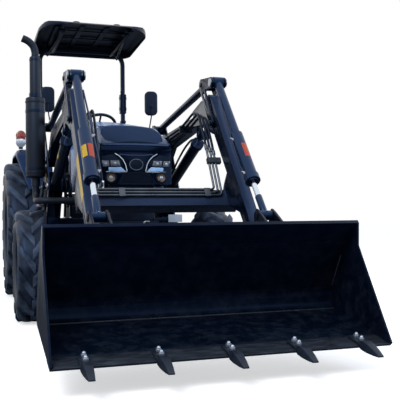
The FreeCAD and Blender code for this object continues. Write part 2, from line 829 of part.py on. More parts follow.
def muffler():
    """Upright silencer on a small shelf that the right mast carries."""
    can = round_z(exhaust_x, exhaust_y, muffler_radius, (muffler_bottom_z, muffler_top_z))
    neck = round_z(exhaust_x, exhaust_y, 36.0, (muffler_bottom_z - 60, muffler_bottom_z))
    shelf = box((exhaust_x + muffler_radius, -mast_outer_x()[1]), (exhaust_y - 40, exhaust_y + 40),
                (muffler_bottom_z + 60, muffler_bottom_z + 90))
    tab = box((exhaust_x, exhaust_x + muffler_radius + 5), (exhaust_y - 40, exhaust_y + 40),
              (muffler_bottom_z + 60, muffler_bottom_z + 90))
    return joined([can, neck, shelf, tab])


def exhaust_outlet():
    """Wide riser on the silencer with a narrower bent tip."""
    riser = round_z(exhaust_x, exhaust_y, outlet_radius, (muffler_top_z, riser_top_z))
    bend = [vec(exhaust_x, exhaust_y, riser_top_z - 5), vec(exhaust_x, exhaust_y, outlet_z),
            vec(exhaust_x - 115, exhaust_y, outlet_z + 110)]
    tip = pipe(bend, 100.0, tip_radius)
    out = (bend[2] - bend[1]).normalize()
    mouth = bar(bend[2] - out * 60, bend[2] + out * 5, tip_radius - 3)
    return riser.fuse(tip).cut(mouth)


def exhaust_downpipe():
    """Pipe from the engine's side, round the front of the mast, to the silencer's foot."""
    z = engine_top_z - 250
    y = engine_front_y + 100
    points = [vec(-body_half_width, y, z), vec(exhaust_x, y, z), vec(exhaust_x, exhaust_y, z),
              vec(exhaust_x, exhaust_y, muffler_bottom_z - 60)]
    return pipe(points, 90.0, exhaust_radius)


def mirrors():
    head = box((mirror_x - mirror_width / 2, mirror_x + mirror_width / 2),
               (mirror_y - 12, mirror_y + 18),
               (mirror_z - mirror_height / 2, mirror_z + mirror_height / 2))
    corner = [edge for edge in head.Edges
              if abs(edge.Vertexes[0].Y - edge.Vertexes[1].Y) > 20]
    head = head.makeFillet(35.0, corner)
    stalk = pipe([vec(hood_rear_half_width, mirror_y, 1440.0), vec(mirror_x - 90, mirror_y, 1440.0),
                  vec(mirror_x, mirror_y, 1620.0), vec(mirror_x, mirror_y, mirror_z - 60)],
                 60.0, stalk_radius)
    return both_sides(joined([head, stalk]))


# ---------------------------------------------------------------- loader

def arm_sides():
    return (arm_x - arm_width / 2, arm_x + arm_width / 2)


def inner_plate_x():
    face = arm_sides()[0] - side_gap
    return (face - plate_thickness, face)


def outer_plate_x():
    face = arm_sides()[1] + side_gap
    return (face, face + plate_thickness)


def crank_pivot():
    return (tilt_base[0] - (rod_eye[0] - bucket_pivot[0]), tilt_base[1] - (rod_eye[1] - bucket_pivot[1]))


def crank_rear():
    pivot = crank_pivot()
    return (pivot[0] + levelling_offset[0], pivot[1] + levelling_offset[1])


def mast_top():
    return (boom_pivot[0] + levelling_offset[0], boom_pivot[1] + levelling_offset[1])


def loader_masts():
    top = mast_top()
    outline = [(mast_front_y, mast_bottom_z), (mast_front_y - 10, mast_bottom_z + 130),
               (lift_base[0] - 50, lift_base[1] - 40), (lift_base[0] - 50, lift_base[1] + 30),
               (boom_pivot[0] - 75, boom_pivot[1] + 20), (boom_pivot[0] - 70, boom_pivot[1] + 60),
               (top[0] - 62, top[1] + 5), (top[0] - 45, top[1] + 40), (top[0] + 25, top[1] + 48),
               (top[0] + 48, top[1] + 15), (mast_rear_y, boom_pivot[1] + 40), (mast_rear_y, mast_bottom_z)]
    pieces = [side_plate(outline, mast_inner_x()), side_plate(outline, mast_outer_x())]
    web_x = (mast_inner_x()[0], mast_outer_x()[1])
    pieces.append(box(web_x, (mast_front_y, mast_rear_y), (mast_bottom_z, mast_bottom_z + 130)))
    pieces.append(box(web_x, (mast_rear_y - 20, mast_rear_y), (mast_bottom_z, boom_pivot[1] - 80)))
    for centre, radius in ((boom_pivot, loader_pin), (lift_base, loader_pin), (top, levelling_pin)):
        pieces.append(round_x(centre, radius, (web_x[0] - 8, web_x[1] + 8)))
    return both_sides(joined(pieces))


def mast_inner_x():
    return (inner_plate_x()[0] - side_gap, inner_plate_x()[1] - side_gap)


def mast_outer_x():
    return (outer_plate_x()[0] + side_gap, outer_plate_x()[1] + side_gap)


def mast_brackets():
    """Beams that carry the masts off the gearbox and engine sides."""
    pad = box((body_half_width, body_half_width + 28), (engine_front_y + 100, mast_rear_y + 40),
              (mast_bottom_z, mast_bottom_z + 130))
    beam = box((body_half_width + 20, mast_inner_x()[0]), (mast_front_y + 20, mast_rear_y - 20),
               (mast_bottom_z + 10, mast_bottom_z + 120))
    return both_sides(joined([pad, beam]))


def boom():
    """Both arms with their pivots, lift lugs and the cross tube that ties them."""
    x = arm_sides()
    root = link_plate(boom_pivot, boom_shoulder, boom_half_depth - 8, boom_half_depth, x)
    rear = link_plate(boom_shoulder, boom_neck, boom_half_depth, boom_neck_half_depth, x)
    neck = link_plate(boom_neck, boom_knee, boom_neck_half_depth, boom_half_depth, x)
    front = link_plate(boom_knee, bucket_pivot, boom_half_depth, boom_tip_half_depth, x)
    knee_plate = side_plate([(boom_neck[0], boom_neck[1] - 20), (boom_knee[0] + 80, boom_knee[1] - 170),
                             (boom_knee[0] - 90, boom_knee[1] - 230), (boom_knee[0] - 60, boom_knee[1]),
                             (boom_knee[0] + 160, boom_knee[1] + 47),
                             (boom_neck[0] + 20, boom_neck[1] + 90)], x)
    tube_corners = torque_tube_corners()
    edge, top, back, low = tube_corners
    gusset = side_plate([(top[0] - 90, top[1] + 190), (top[0] + 30, top[1] + 40), back, low, edge,
                         (edge[0] - 190, edge[1] - 50)], x)
    tube = side_plate(tube_corners, (-x[1], x[1]))
    pivot_pin = round_x(crank_pivot(), loader_pin, (inner_plate_x()[0] - 8, outer_plate_x()[1] + 8))
    lug_start = (lift_eye[0], lift_eye[1] + 140)
    arm = joined([root, rear, neck, front, knee_plate, gusset, pivot_pin])
    for lug_x in ((x[0], x[0] + 14), (x[1] - 14, x[1])):
        lug = link_plate(lug_start, lift_eye, 55.0, 36.0, lug_x)
        arm = arm.fuse(lug)
    for head in ((x[0] - 8, x[0] + 1), (x[1] - 1, x[1] + 8)):
        arm = arm.fuse(round_x(lift_eye, 26.0, head))
    for hole in (boom_pivot, bucket_pivot):
        arm = arm.cut(round_x(hole, loader_pin + running_gap, (x[0] - 10, x[1] + 10)))
    return joined([arm, arm.mirror(vec(0, 0, 0), vec(1, 0, 0)), tube])


def torque_tube_corners():
    """Corners of the cross tube: its upper front face leans along the arms."""
    across = line_outward()
    corners = [torque_tube_edge, torque_tube_top]
    for point in (torque_tube_top, torque_tube_edge):
        corners.append((point[0] - across[0] * torque_tube_depth, point[1] - across[1] * torque_tube_depth))
    return corners


def line_outward():
    span = math.dist(torque_tube_edge, torque_tube_top)
    return ((torque_tube_edge[1] - torque_tube_top[1]) / span, (torque_tube_top[0] - torque_tube_edge[0]) / span)


def line_start(index):
    """Middle of one pipe on the cross tube's upper face."""
    point = towards(torque_tube_top, torque_tube_edge, 5 + index * line_pitch)
    out = line_outward()
    reach = line_radius + 5
    return (point[0] + out[0] * reach, point[1] + out[1] * reach)


def line_end(index):
    return (line_start(index)[0] + 170.0, line_start(index)[1] + 310.0)


def line_row_x(index):
    return line_x - (2 - index) * line_pitch


def boom_pipes():
    """Three steel pipes across the cross tube and up inside the left arm, with the clamps that hold them."""
    pieces = []
    for index in range(3):
        x = line_row_x(index)
        start, end = line_start(index), line_end(index)
        points = [vec(-430, *start), vec(x, *start), vec(x, *end)]
        pieces.append(pipe(points, 24.0, line_radius))
        pieces.append(bar(vec(x, *towards(end, start, 30)), vec(x, *end), line_radius + 4))
        pieces.append(bar(vec(-432, *start), vec(-400, *start), line_radius + 4))
    out = line_outward()
    first = towards(torque_tube_top, torque_tube_edge, 1)
    last = towards(torque_tube_top, torque_tube_edge, 64)
    lift = [(point[0] + out[0] * height, point[1] + out[1] * height)
            for point, height in ((first, running_gap), (first, 26), (last, 26), (last, running_gap))]
    for x in (-250.0, 325.0):
        pieces.append(side_plate(lift, (x - 20, x + 20)))
    middle = towards(line_start(1), line_end(1), 250)
    slope = math.degrees(math.atan2(310.0, 170.0))
    clamp = box((line_row_x(0) - 12, arm_sides()[0] - running_gap), (-20, 20), (-15, 15))
    clamp.rotate(vec(0, 0, 0), vec(1, 0, 0), slope)
    clamp.translate(vec(0, *middle))
    pieces.append(clamp)
    return joined(pieces)


def boom_hoses():
    """Hoses from the pipes' tops, over the knee and back along the left arm to its root."""
    pieces = []
    for index in range(3):
        x = line_row_x(index)
        end = line_end(index)
        start = towards(end, line_start(index), -running_gap)
        lead = towards(end, line_start(index), -60)
        rise = 14.0 * (2 - index)
        points = [vec(x, *start), vec(x, *lead), vec(x, -2790.0 + rise, 1490.0 + rise),
                  vec(x, -2640.0, 1515.0 + rise), vec(x, -2330.0, 1446.0 + rise),
                  vec(x, -1790.0, 1405.0 + rise)]
        pieces.append(pipe(points, 90.0, line_radius + 1))
        pieces.append(bar(points[-1] + vec(0, -40, 0), points[-1] + vec(0, 12, 0), line_radius + 4))
    for y, z in ((-2330.0, 1446.0), (-1830.0, 1408.0)):
        pieces.append(box((line_row_x(0) - 14, arm_sides()[0] - running_gap), (y - 14, y + 14), (z - 14, z + 42)))
    return joined(pieces)


def cranks():
    """Levelling cranks: on each arm two bent plates on the crank pivot, tied by the levelling rod's pin."""
    pivot = crank_pivot()
    rear = crank_rear()
    plates = []
    for x in (inner_plate_x(), outer_plate_x()):
        plate = joined([link_plate(pivot, rear, 32.0, 44.0, x), link_plate(rear, tilt_base, 42.0, 38.0, x)])
        window = [towards(pivot, rear, 95)]
        for sign in (1, -1):
            point = towards(rear, pivot, 78)
            across = (rear[1] - pivot[1], pivot[0] - rear[0])
            span = math.hypot(*across)
            window.append((point[0] + sign * 19 * across[0] / span, point[1] + sign * 19 * across[1] / span))
        plate = plate.cut(side_plate(window, x))
        for hole in (pivot, tilt_base):
            plate = plate.cut(round_x(hole, loader_pin + running_gap, x))
        plates.append(plate)
    pin = round_x(rear, levelling_pin, (inner_plate_x()[0] - 8, outer_plate_x()[1] + 8))
    return both_sides(joined(plates + [pin]))


def levelling_rods():
    eyes = (arm_x - levelling_eye_half, arm_x + levelling_eye_half)
    start = mast_top()
    end = crank_rear()
    rod = bar(vec(arm_x, *start), vec(arm_x, *end), levelling_rod_radius)
    body = joined([rod, round_x(start, 40.0, eyes), round_x(end, 40.0, eyes)])
    for hole in (start, end):
        body = body.cut(round_x(hole, levelling_pin + running_gap, eyes))
    return both_sides(body)


def pin_with_heads(centre, radius, inner_x, outer_x):
    pin = round_x(centre, radius, (inner_x - 8, outer_x + 8))
    heads = [round_x(centre, radius + 9, (inner_x - 9, inner_x - running_gap)),
             round_x(centre, radius + 9, (outer_x + running_gap, outer_x + 9))]
    return both_sides(joined([pin] + heads))


def tilt_pins():
    return pin_with_heads(tilt_base, loader_pin, inner_plate_x()[0], outer_plate_x()[1])


def bucket_pins():
    return pin_with_heads(bucket_pivot, loader_pin, ear_inner_x(), ear_outer_x())


def ear_inner_x():
    return arm_sides()[0] - side_gap - ear_thickness


def ear_outer_x():
    return arm_sides()[1] + side_gap + ear_thickness


def cylinder_barrel(start, end, eye_radius, pin_radius, neck, neck_radius, length, radius, rod_radius):
    eye_x = (arm_sides()[0] + 1, arm_sides()[1] - 1)
    point = [towards(start, end, distance) for distance in (neck, length)]
    tube = bar(vec(arm_x, *point[0]), vec(arm_x, *point[1]), radius)
    stem = bar(vec(arm_x, *start), vec(arm_x, *point[0]), neck_radius)
    gland = bar(vec(arm_x, *towards(start, end, length - 45)), vec(arm_x, *point[1]), radius + 7)
    body = joined([tube, stem, gland, round_x(start, eye_radius, eye_x)])
    body = body.cut(round_x(start, pin_radius + running_gap, (0, 1000)))
    tail = towards(start, end, eye_radius + 20 if neck < 100 else neck + 20)
    return body.cut(bar(vec(arm_x, *tail), vec(arm_x, *towards(start, end, length + 5)), rod_radius + running_gap))


def cylinder_rod(start, end, tail_length, rod_radius, eye_radius, eye_width):
    tail = towards(start, end, tail_length)
    rod = bar(vec(arm_x, *tail), vec(arm_x, *end), rod_radius)
    eye = round_x(end, eye_radius, (arm_x - eye_width / 2, arm_x + eye_width / 2))
    return joined([rod, eye])


def tilt_barrels():
    return both_sides(cylinder_barrel(tilt_base, rod_eye, 40.0, loader_pin, tilt_neck_length,
                                      tilt_neck_radius, tilt_barrel_end, tilt_barrel_radius,
                                      tilt_rod_radius))


def tilt_rods():
    width = arm_width + 2 * side_gap - 2
    return both_sides(cylinder_rod(tilt_base, rod_eye, tilt_neck_length + 130, tilt_rod_radius,
                                   30.0, width))


def lift_barrels():
    return both_sides(cylinder_barrel(lift_base, lift_eye, 36.0, loader_pin, 60.0,
                                      30.0, lift_barrel_length, lift_barrel_radius,
                                      lift_rod_radius))


def lift_rods():
    return both_sides(cylinder_rod(lift_base, lift_eye, 120.0, lift_rod_radius, 28.0,
                                   arm_width - 28 - 2))


# ---------------------------------------------------------------- bucket

def bucket_place(point):
    """(forward, up) on the bucket's own floor to (y, z)."""
    lean = math.radians(bucket_tip_angle)
    forward = point[0] + bucket_pivot_back
    up = point[1] - bucket_pivot_up
    return (bucket_pivot[0] - forward * math.cos(lean) - up * math.sin(lean),
            bucket_pivot[1] - forward * math.sin(lean) + up * math.cos(lean))


def bucket_vec(x):
    return lambda point: vec(x, *bucket_place(point))


def bucket_path():
    return [(-edge_depth, 0.0), (-bucket_floor, 0.0), bucket_heel, bucket_shoulder, bucket_top]


def bucket_radii():
    return [45.0, heel_radius, shoulder_radius]


def bucket():
    half = bucket_half_width
    path = bucket_path()
    shell = bent_plate(path, bucket_radii(), -bucket_plate, bucket_vec(-half), vec(2 * half, 0, 0))
    pieces = [shell]
    skin = [bucket_vec(half - bucket_plate)(point) for point in offset_corners(path, -bucket_plate)]
    outer_edges = bend_edges(skin, [radius + bucket_plate for radius in bucket_radii()])
    front = [bucket_top, bucket_knee, (0.0, 6.0), (0.0, 0.0), (-edge_depth, 0.0)]
    corners = [skin[-1]] + [bucket_vec(half - bucket_plate)(point) for point in front] + [skin[0]]
    closing = [Part.LineSegment(a, b).toShape() for a, b in zip(corners, corners[1:])]
    cheek = Part.Face(Part.Wire(Part.__sortEdges__(outer_edges + closing))).extrude(vec(bucket_plate, 0, 0))
    pieces += [cheek, cheek.mirror(vec(0, 0, 0), vec(1, 0, 0))]
    lip_start = towards(bucket_top, bucket_shoulder, lip_depth)
    lip = bent_plate([lip_start, towards(bucket_top, bucket_shoulder, 1.0)], [],
                     -bucket_plate * 2, bucket_vec(-half), vec(2 * half, 0, 0))
    pieces.append(lip)
    for x0 in (ear_inner_x(), arm_sides()[1] + side_gap):
        for side in (-1, 1):
            ear = bucket_ear((side * x0, side * (x0 + ear_thickness)))
            pieces.append(ear.cut(bucket_hollow()))
    for side in (-1, 1):
        for x0 in (ear_inner_x() - 7, ear_outer_x() - 1):
            pieces.append(round_x(rod_eye, 24.0, (side * x0, side * (x0 + 8))))
    body = joined(pieces)
    hole = loader_pin + running_gap
    for side in (-1, 1):
        body = body.cut(round_x(bucket_pivot, hole, (side * 400, side * 600)))
    return body


def bucket_hollow():
    """The room inside the shell, which the ears stay out of."""
    place = bucket_vec(-bucket_half_width)
    edges = bend_edges([place(point) for point in bucket_path()], bucket_radii())
    mouth = [place(point) for point in (bucket_top, (0.0, 0.0), (-edge_depth, 0.0))]
    edges += [Part.LineSegment(a, b).toShape() for a, b in zip(mouth, mouth[1:])]
    return Part.Face(Part.Wire(Part.__sortEdges__(edges))).extrude(vec(2 * bucket_half_width, 0, 0))


def bucket_ear(x_range):
    skin = -bucket_plate / 2
    path = offset_corners(bucket_path(), skin)
    low = bucket_place((path[2][0] + 12, path[2][1] - 40))
    high = bucket_place(towards(path[3], path[2], 10))
    outline = [low, (bucket_pivot[0] - 20, bucket_pivot[1] - 58), (bucket_pivot[0] + 46, bucket_pivot[1] - 20),
               (rod_eye[0] + 42, rod_eye[1] - 8), (rod_eye[0] + 8, rod_eye[1] + 40),
               (rod_eye[0] - 36, rod_eye[1] + 20), high, bucket_place(towards(path[2], path[3], 60))]
    return side_plate(outline, x_range)


def cutting_edge():
    corners = [bucket_place(point) for point in ((-edge_depth, 0.0), (0.0, 0.0), (-14.0, -edge_thickness),
                                                 (-edge_depth, -edge_thickness))]
    return side_plate(corners, (-bucket_half_width, bucket_half_width))


def bucket_teeth():
    outline = [(-tooth_seat, 0.0), (-tooth_seat, 10.0), (-tooth_seat * 0.4, 24.0), (25.0, 24.0),
               (tooth_reach, 2.0), (tooth_reach, -5.0), (20.0, -14.0), (0.0, -10.0), (0.0, 0.0)]
    corners = [bucket_place(point) for point in outline]
    first = -(tooth_count - 1) / 2 * tooth_pitch
    teeth = []
    for index in range(tooth_count):
        centre = first + index * tooth_pitch
        teeth.append(side_plate(corners, (centre - tooth_width / 2, centre + tooth_width / 2)))
    return apart(teeth)


# ---------------------------------------------------------------- rear hitch

def lower_links():
    x = (link_x - link_thickness / 2, link_x + link_thickness / 2)
    start = (link_pivot_y, link_pivot_z)
    end = (link_pivot_y + link_length, link_pivot_z)
    stub = round_x(rod_foot(), 12.0, (link_x, lift_arm_x + 9))
    body = joined([link_plate(start, end, 30.0, 26.0, x), stub,
                   round_x(end, ball_radius, (link_x - ball_width / 2, link_x + ball_width / 2))])
    body = body.cut(round_x(start, 14.0 + running_gap, (0, 400)))
    body = body.cut(round_x(end, ball_bore, (0, 400)))
    return both_sides(body)


def rod_foot():
    return (link_pivot_y + rod_foot_along, link_pivot_z + 8)


def lift_arms():
    """Rockshaft through the axle case, with an arm at each end."""
    half = lift_arm_x + 9
    centre = (rockshaft_y, rockshaft_z)
    end = (rockshaft_y + lift_arm_length, rockshaft_z)
    shaft = round_x(centre, rockshaft_radius, (-half, half))
    arms = []
    for side in (-1, 1):
        arms.append(link_plate(centre, end, 44.0, 26.0, (side * (half - 18), side * half)))
        arms.append(round_x(end, 10.0, (side * (half - 1), side * (half + 26))))
    return joined([shaft] + arms)


def hitch_rods():
    """Lift rods that hang from the lift arms down to the lower links."""
    x = lift_arm_x + 9 + running_gap
    top = (rockshaft_y + lift_arm_length, rockshaft_z)
    foot = rod_foot()
    eye_x = (x, x + 20)
    body = joined([bar(vec(x + 10, *top), vec(x + 10, *foot), 9.0), round_x(top, 22.0, eye_x),
                   round_x(foot, 20.0, eye_x)])
    return both_sides(body.cut(round_x(top, 10.0 + running_gap, (0, 400))))


def top_link():
    start = (axle_case_rear_y, top_link_z)
    end = (axle_case_rear_y + top_link_length, top_link_z + 60)
    body = joined([bar(vec(0, *towards(start, end, 20)), vec(0, *end), 16.0), round_x(end, 26.0, (-22, 22)),
                   box((-25, 25), (axle_case_rear_y, axle_case_rear_y + 60),
                       (top_link_z - 35, top_link_z + 35))])
    return body.cut(round_x(end, ball_bore, (-30, 30)))


def drawbar():
    start = axle_case_rear_y - 160
    bar_box = box((-35, 35), (start, axle_case_rear_y + drawbar_length), (drawbar_z, drawbar_z + 22))
    hanger = box((-60, 60), (axle_case_rear_y - 60, axle_case_rear_y - 10), (drawbar_z + 20, gearbox_bottom_z))
    body = joined([bar_box, hanger])
    return body.cut(round_z(0, axle_case_rear_y + drawbar_length - 45, drawbar_hole,
                            (drawbar_z - 5, drawbar_z + 30)))


def hitch_end_y():
    return link_pivot_y + link_length + ball_radius


def tooth_tip_y():
    return bucket_place((tooth_reach, -5.0))[0]


def origin_shift():
    return -(hitch_end_y() + tooth_tip_y()) / 2


def sub_parts():
    parts = {
        "front_frame": front_frame(),
        "engine_block": engine_block(),
        "transmission_housing": transmission_housing(),
        "rear_axle": rear_axle(),
        "front_axle": front_axle(),
        "radiator": radiator(),
        "hood": hood(),
        "nose": nose(),
        "front_grille": front_grille(),
        "headlamps": headlamps(),
        "fog_lamps": fog_lamps(),
        "dashboard": dashboard(),
        "platform": platform(),
        "fenders": fenders(),
        "tail_lamps": tail_lamps(),
        "seat_base": seat_base(),
        "seat_cushion": seat_cushion(),
        "seat_backrest": seat_backrest(),
        "roll_bar": rops(),
        "canopy": canopy(),
        "canopy_brackets": canopy_brackets(),
        "muffler": muffler(),
        "exhaust_outlet": exhaust_outlet(),
        "exhaust_downpipe": exhaust_downpipe(),
        "mirrors": mirrors(),
        "loader_masts": loader_masts(),
        "mast_brackets": mast_brackets(),
        "top_link": top_link(),
        "drawbar": drawbar(),
        "lower_links": lower_links(),
        "lift_arms": lift_arms(),
        "hitch_rods": hitch_rods(),
        "steering_wheel": steering_wheel(),
        "boom": boom(),
        "boom_pipes": boom_pipes(),
        "boom_hoses": boom_hoses(),
        "cranks": cranks(),
        "levelling_rods": levelling_rods(),
        "tilt_pins": tilt_pins(),
        "tilt_barrels": tilt_barrels(),
        "tilt_rods": tilt_rods(),
        "lift_barrels": lift_barrels(),
        "lift_rods": lift_rods(),
        "bucket_pins": bucket_pins(),
        "bucket": bucket(),
        "cutting_edge": cutting_edge(),
        "bucket_teeth": bucket_teeth(),
    }
    for name, side in (("left", left), ("right", right)):
        parts["knuckle_" + name] = knuckle(side)
        parts["rear_tyre_" + name], parts["rear_rim_" + name] = rear_wheel(side)
        parts["front_tyre_" + name], parts["front_rim_" + name] = front_wheel(side)
    return parts


def main():
    os.makedirs("parts", exist_ok=True)
    for name, shape in sub_parts().items():
        shape.translate(vec(0, origin_shift(), 0))
        shape.exportStep("parts/" + name + ".step")
        print(name, "solids", len(shape.Solids), "valid", shape.isValid())


main()
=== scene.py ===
import bpy, bmesh, json, math
from mathutils import Vector, Matrix


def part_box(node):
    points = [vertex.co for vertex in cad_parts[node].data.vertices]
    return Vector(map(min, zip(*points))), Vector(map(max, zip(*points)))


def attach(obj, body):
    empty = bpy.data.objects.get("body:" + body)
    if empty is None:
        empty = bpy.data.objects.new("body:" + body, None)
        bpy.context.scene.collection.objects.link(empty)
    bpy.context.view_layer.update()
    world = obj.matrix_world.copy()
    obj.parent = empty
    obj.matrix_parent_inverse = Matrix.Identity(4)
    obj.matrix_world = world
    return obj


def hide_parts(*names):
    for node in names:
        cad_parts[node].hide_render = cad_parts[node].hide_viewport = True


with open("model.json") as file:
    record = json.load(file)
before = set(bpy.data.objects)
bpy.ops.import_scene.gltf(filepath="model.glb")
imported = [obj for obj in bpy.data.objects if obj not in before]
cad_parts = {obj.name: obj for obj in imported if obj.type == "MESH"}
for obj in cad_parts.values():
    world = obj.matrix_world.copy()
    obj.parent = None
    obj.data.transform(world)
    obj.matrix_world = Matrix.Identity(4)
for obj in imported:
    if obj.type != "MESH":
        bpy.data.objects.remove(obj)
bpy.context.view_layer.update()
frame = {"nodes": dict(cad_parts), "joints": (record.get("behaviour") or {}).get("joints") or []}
nodes = frame["nodes"]
joints = {joint["name"]: joint for joint in frame["joints"]}


def pivot(jointName):
    return Vector(joints[jointName]["pos_m"])


def middle(nodeName):
    low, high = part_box(nodeName)
    return (low + high) / 2


rearAxle = middle("rear_tyre_left")
frontAxle = middle("front_tyre_left")
tiltPivot = pivot("tilt_pin_turn")
bucketPivot = pivot("bucket_curl")
liftBase = pivot("lift_barrel_swing")
liftAxis = Vector(joints["lift_rod_slide"]["axis"])
tiltAxis = Vector(joints["tilt_rod_slide"]["axis"])

# the machine's own directions
across, forwards, upwards = Vector((1, 0, 0)), Vector((0, -1, 0)), Vector((0, 0, 1))

# ---- helpers for shapes and nodes


def linear(hexCode):
    # sRGB hex to the linear values Blender wants
    parts = [int(hexCode[i:i + 2], 16) / 255 for i in (1, 3, 5)]
    return tuple(c / 12.92 if c <= 0.04045 else ((c + 0.055) / 1.055) ** 2.4 for c in parts) + (1.0,)


def addNode(tree, kind, inputs=None, **settings):
    node = tree.nodes.new(kind)
    for key, value in settings.items():
        setattr(node, key, value)
    for key, value in (inputs or {}).items():
        if isinstance(value, bpy.types.NodeSocket):
            tree.links.new(value, node.inputs[key])
        else:
            node.inputs[key].default_value = value
    return node


def newMaterial(name):
    material = bpy.data.materials.new(name)
    material.use_nodes = True
    tree = material.node_tree
    tree.nodes.clear()
    shader = addNode(tree, "ShaderNodeBsdfPrincipled")
    addNode(tree, "ShaderNodeOutputMaterial", {"Surface": shader.outputs[0]})
    place = addNode(tree, "ShaderNodeTexCoord").outputs["Object"]
    return material, tree, shader, place


def noise(tree, place, scale, detail, roughness=0.5):
    return addNode(tree, "ShaderNodeTexNoise", {"Vector": place, "Scale": scale, "Detail": detail,
                                                "Roughness": roughness}).outputs["Fac"]


def toneBetween(tree, share, *ends):
    # a colour between two others, each a hex code or another node's colour
    first, second = (linear(end) if isinstance(end, str) else end for end in ends)
    return addNode(tree, "ShaderNodeMix", {0: share, 6: first, 7: second}, data_type="RGBA").outputs[2]


def remapped(tree, value, ends, span=(0.0, 1.0)):
    return addNode(tree, "ShaderNodeMapRange", {"Value": value, "From Min": span[0], "From Max": span[1],
                                                "To Min": ends[0], "To Max": ends[1]}).outputs[0]


def finishMaterial(made, colour, rough, relief, plain=None):
    # relief is a height, its strength and its depth in metres; plain holds the shader's other inputs
    material, tree, shader, place = made
    bump = addNode(tree, "ShaderNodeBump", dict(zip(("Height", "Strength", "Distance"), relief)))
    for socket, value in (("Base Color", colour), ("Roughness", rough), ("Normal", bump.outputs[0])):
        tree.links.new(value, shader.inputs[socket])
    for socket, value in (plain or {}).items():
        shader.inputs[socket].default_value = linear(value) if isinstance(value, str) else value
    return material


def extent(edge, way):
    # how far an edge reaches along x, y or z
    start, end = (getattr(vert.co, way) for vert in edge.verts)
    return abs(start - end)


def roundEdges(bm, edges, width, segments=2):
    bmesh.ops.bevel(bm, geom=edges, offset=width, offset_type="OFFSET", segments=segments, affect="EDGES",
                    profile=0.5, material=-1)


def moved(part, place):
    # place is a step or a whole matrix
    if place is not None:
        part.transform(Matrix.Translation(place) if isinstance(place, Vector) else place)
    return part


def merge(target, part, paint=0, place=None):
    # adds a finished bmesh to another one, in one of the piece's materials
    moved(part, place)
    for face in part.faces:
        face.material_index = paint
    carrier = bpy.data.meshes.new("carrier")
    part.to_mesh(carrier)
    part.free()
    target.from_mesh(carrier)
    bpy.data.meshes.remove(carrier)


def roundedBlock(size, edge=0.004, segments=2):
    bm = bmesh.new()
    bmesh.ops.create_cube(bm, size=1.0)
    bmesh.ops.scale(bm, vec=Vector(size), verts=bm.verts)
    if edge > 0:
        roundEdges(bm, bm.edges[:], edge, segments)
    return bm


def roundBar(start, end, radius, steps=24, edge=0.0, endRadius=None):
    bm = bmesh.new()
    span = end - start
    bmesh.ops.create_cone(bm, cap_ends=True, segments=steps, radius1=radius,
                          radius2=radius if endRadius is None else endRadius, depth=span.length)
    if edge > 0:
        rims = [e for e in bm.edges if any(len(f.verts) > 4 for f in e.link_faces)]
        roundEdges(bm, rims, edge)
    turn = span.to_track_quat("Z", "Y").to_matrix().to_4x4()
    bm.transform(Matrix.Translation((start + end) / 2) @ turn)
    return bm


def turned(profile, steps, axis=across, centre=Vector((0, 0, 0)), closed=True):
    # profile holds (along, radius) pairs about the axis
    bm = bmesh.new()
    side = axis.orthogonal().normalized()
    rim = [bm.verts.new(centre + axis * along + side * radius) for along, radius in profile]
    edges = [bm.edges.new(pair) for pair in zip(rim, rim[1:])]
    if closed:
        edges.append(bm.edges.new((rim[-1], rim[0])))
    bmesh.ops.spin(bm, geom=rim + edges, cent=centre, axis=axis, angle=2 * math.pi, steps=steps,
                   use_merge=True)
    bmesh.ops.remove_doubles(bm, verts=bm.verts, dist=1e-5)
    bmesh.ops.recalc_face_normals(bm, faces=bm.faces)
    return bm


def prism(outline, thickness, edge=0.002, segments=2):
    # outline as points in space, thickened along a vector, its edges rounded
    bm = bmesh.new()
    face = bm.faces.new([bm.verts.new(point) for point in outline])
    made = bmesh.ops.extrude_face_region(bm, geom=[face])
    bmesh.ops.translate(bm, vec=thickness,
                        verts=[v for v in made["geom"] if isinstance(v, bmesh.types.BMVert)])
    bmesh.ops.recalc_face_normals(bm, faces=bm.faces)
    if edge > 0:
        roundEdges(bm, bm.edges[:], edge, segments)
    return bm


def joinRings(bm, rows, way=1):
    # closed rings of points joined in turn; the end faces follow way, and 0 leaves them open
    count = len(rows[0])
    for first, second in zip(rows, rows[1:]):
        for index in range(count):
            after = (index + 1) % count
            bm.faces.new((first[index], first[after], second[after], second[index]))
    if way:
        bm.faces.new(rows[0][::way])
        bm.faces.new(rows[-1][::-way])
    bmesh.ops.recalc_face_normals(bm, faces=bm.faces)
    return bm


def mirrored(bm):
    # the same shape on the machine's other side
    both = bm.copy()
    bmesh.ops.scale(both, vec=Vector((-1, 1, 1)), verts=both.verts)
    bmesh.ops.reverse_faces(both, faces=both.faces)
    return both


def addPair(target, part, paint=0, place=None):
    moved(part, place)
    merge(target, mirrored(part), paint)
    merge(target, part, paint)


def finishPiece(name, bm, materials, body, replaced=(), sharp=38):
    mesh = bpy.data.meshes.new(name)
    bm.to_mesh(mesh)
    bm.free()
    for material in materials:
        mesh.materials.append(material)
    mesh.shade_smooth()
    mesh.set_sharp_from_angle(angle=math.radians(sharp))
    piece = bpy.data.objects.new(name, mesh)
    bpy.context.scene.collection.objects.link(piece)
    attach(piece, body)
    if replaced:
        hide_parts(*replaced)
    return piece


# ---- camera, level with the radiator and turned from the machine's front right

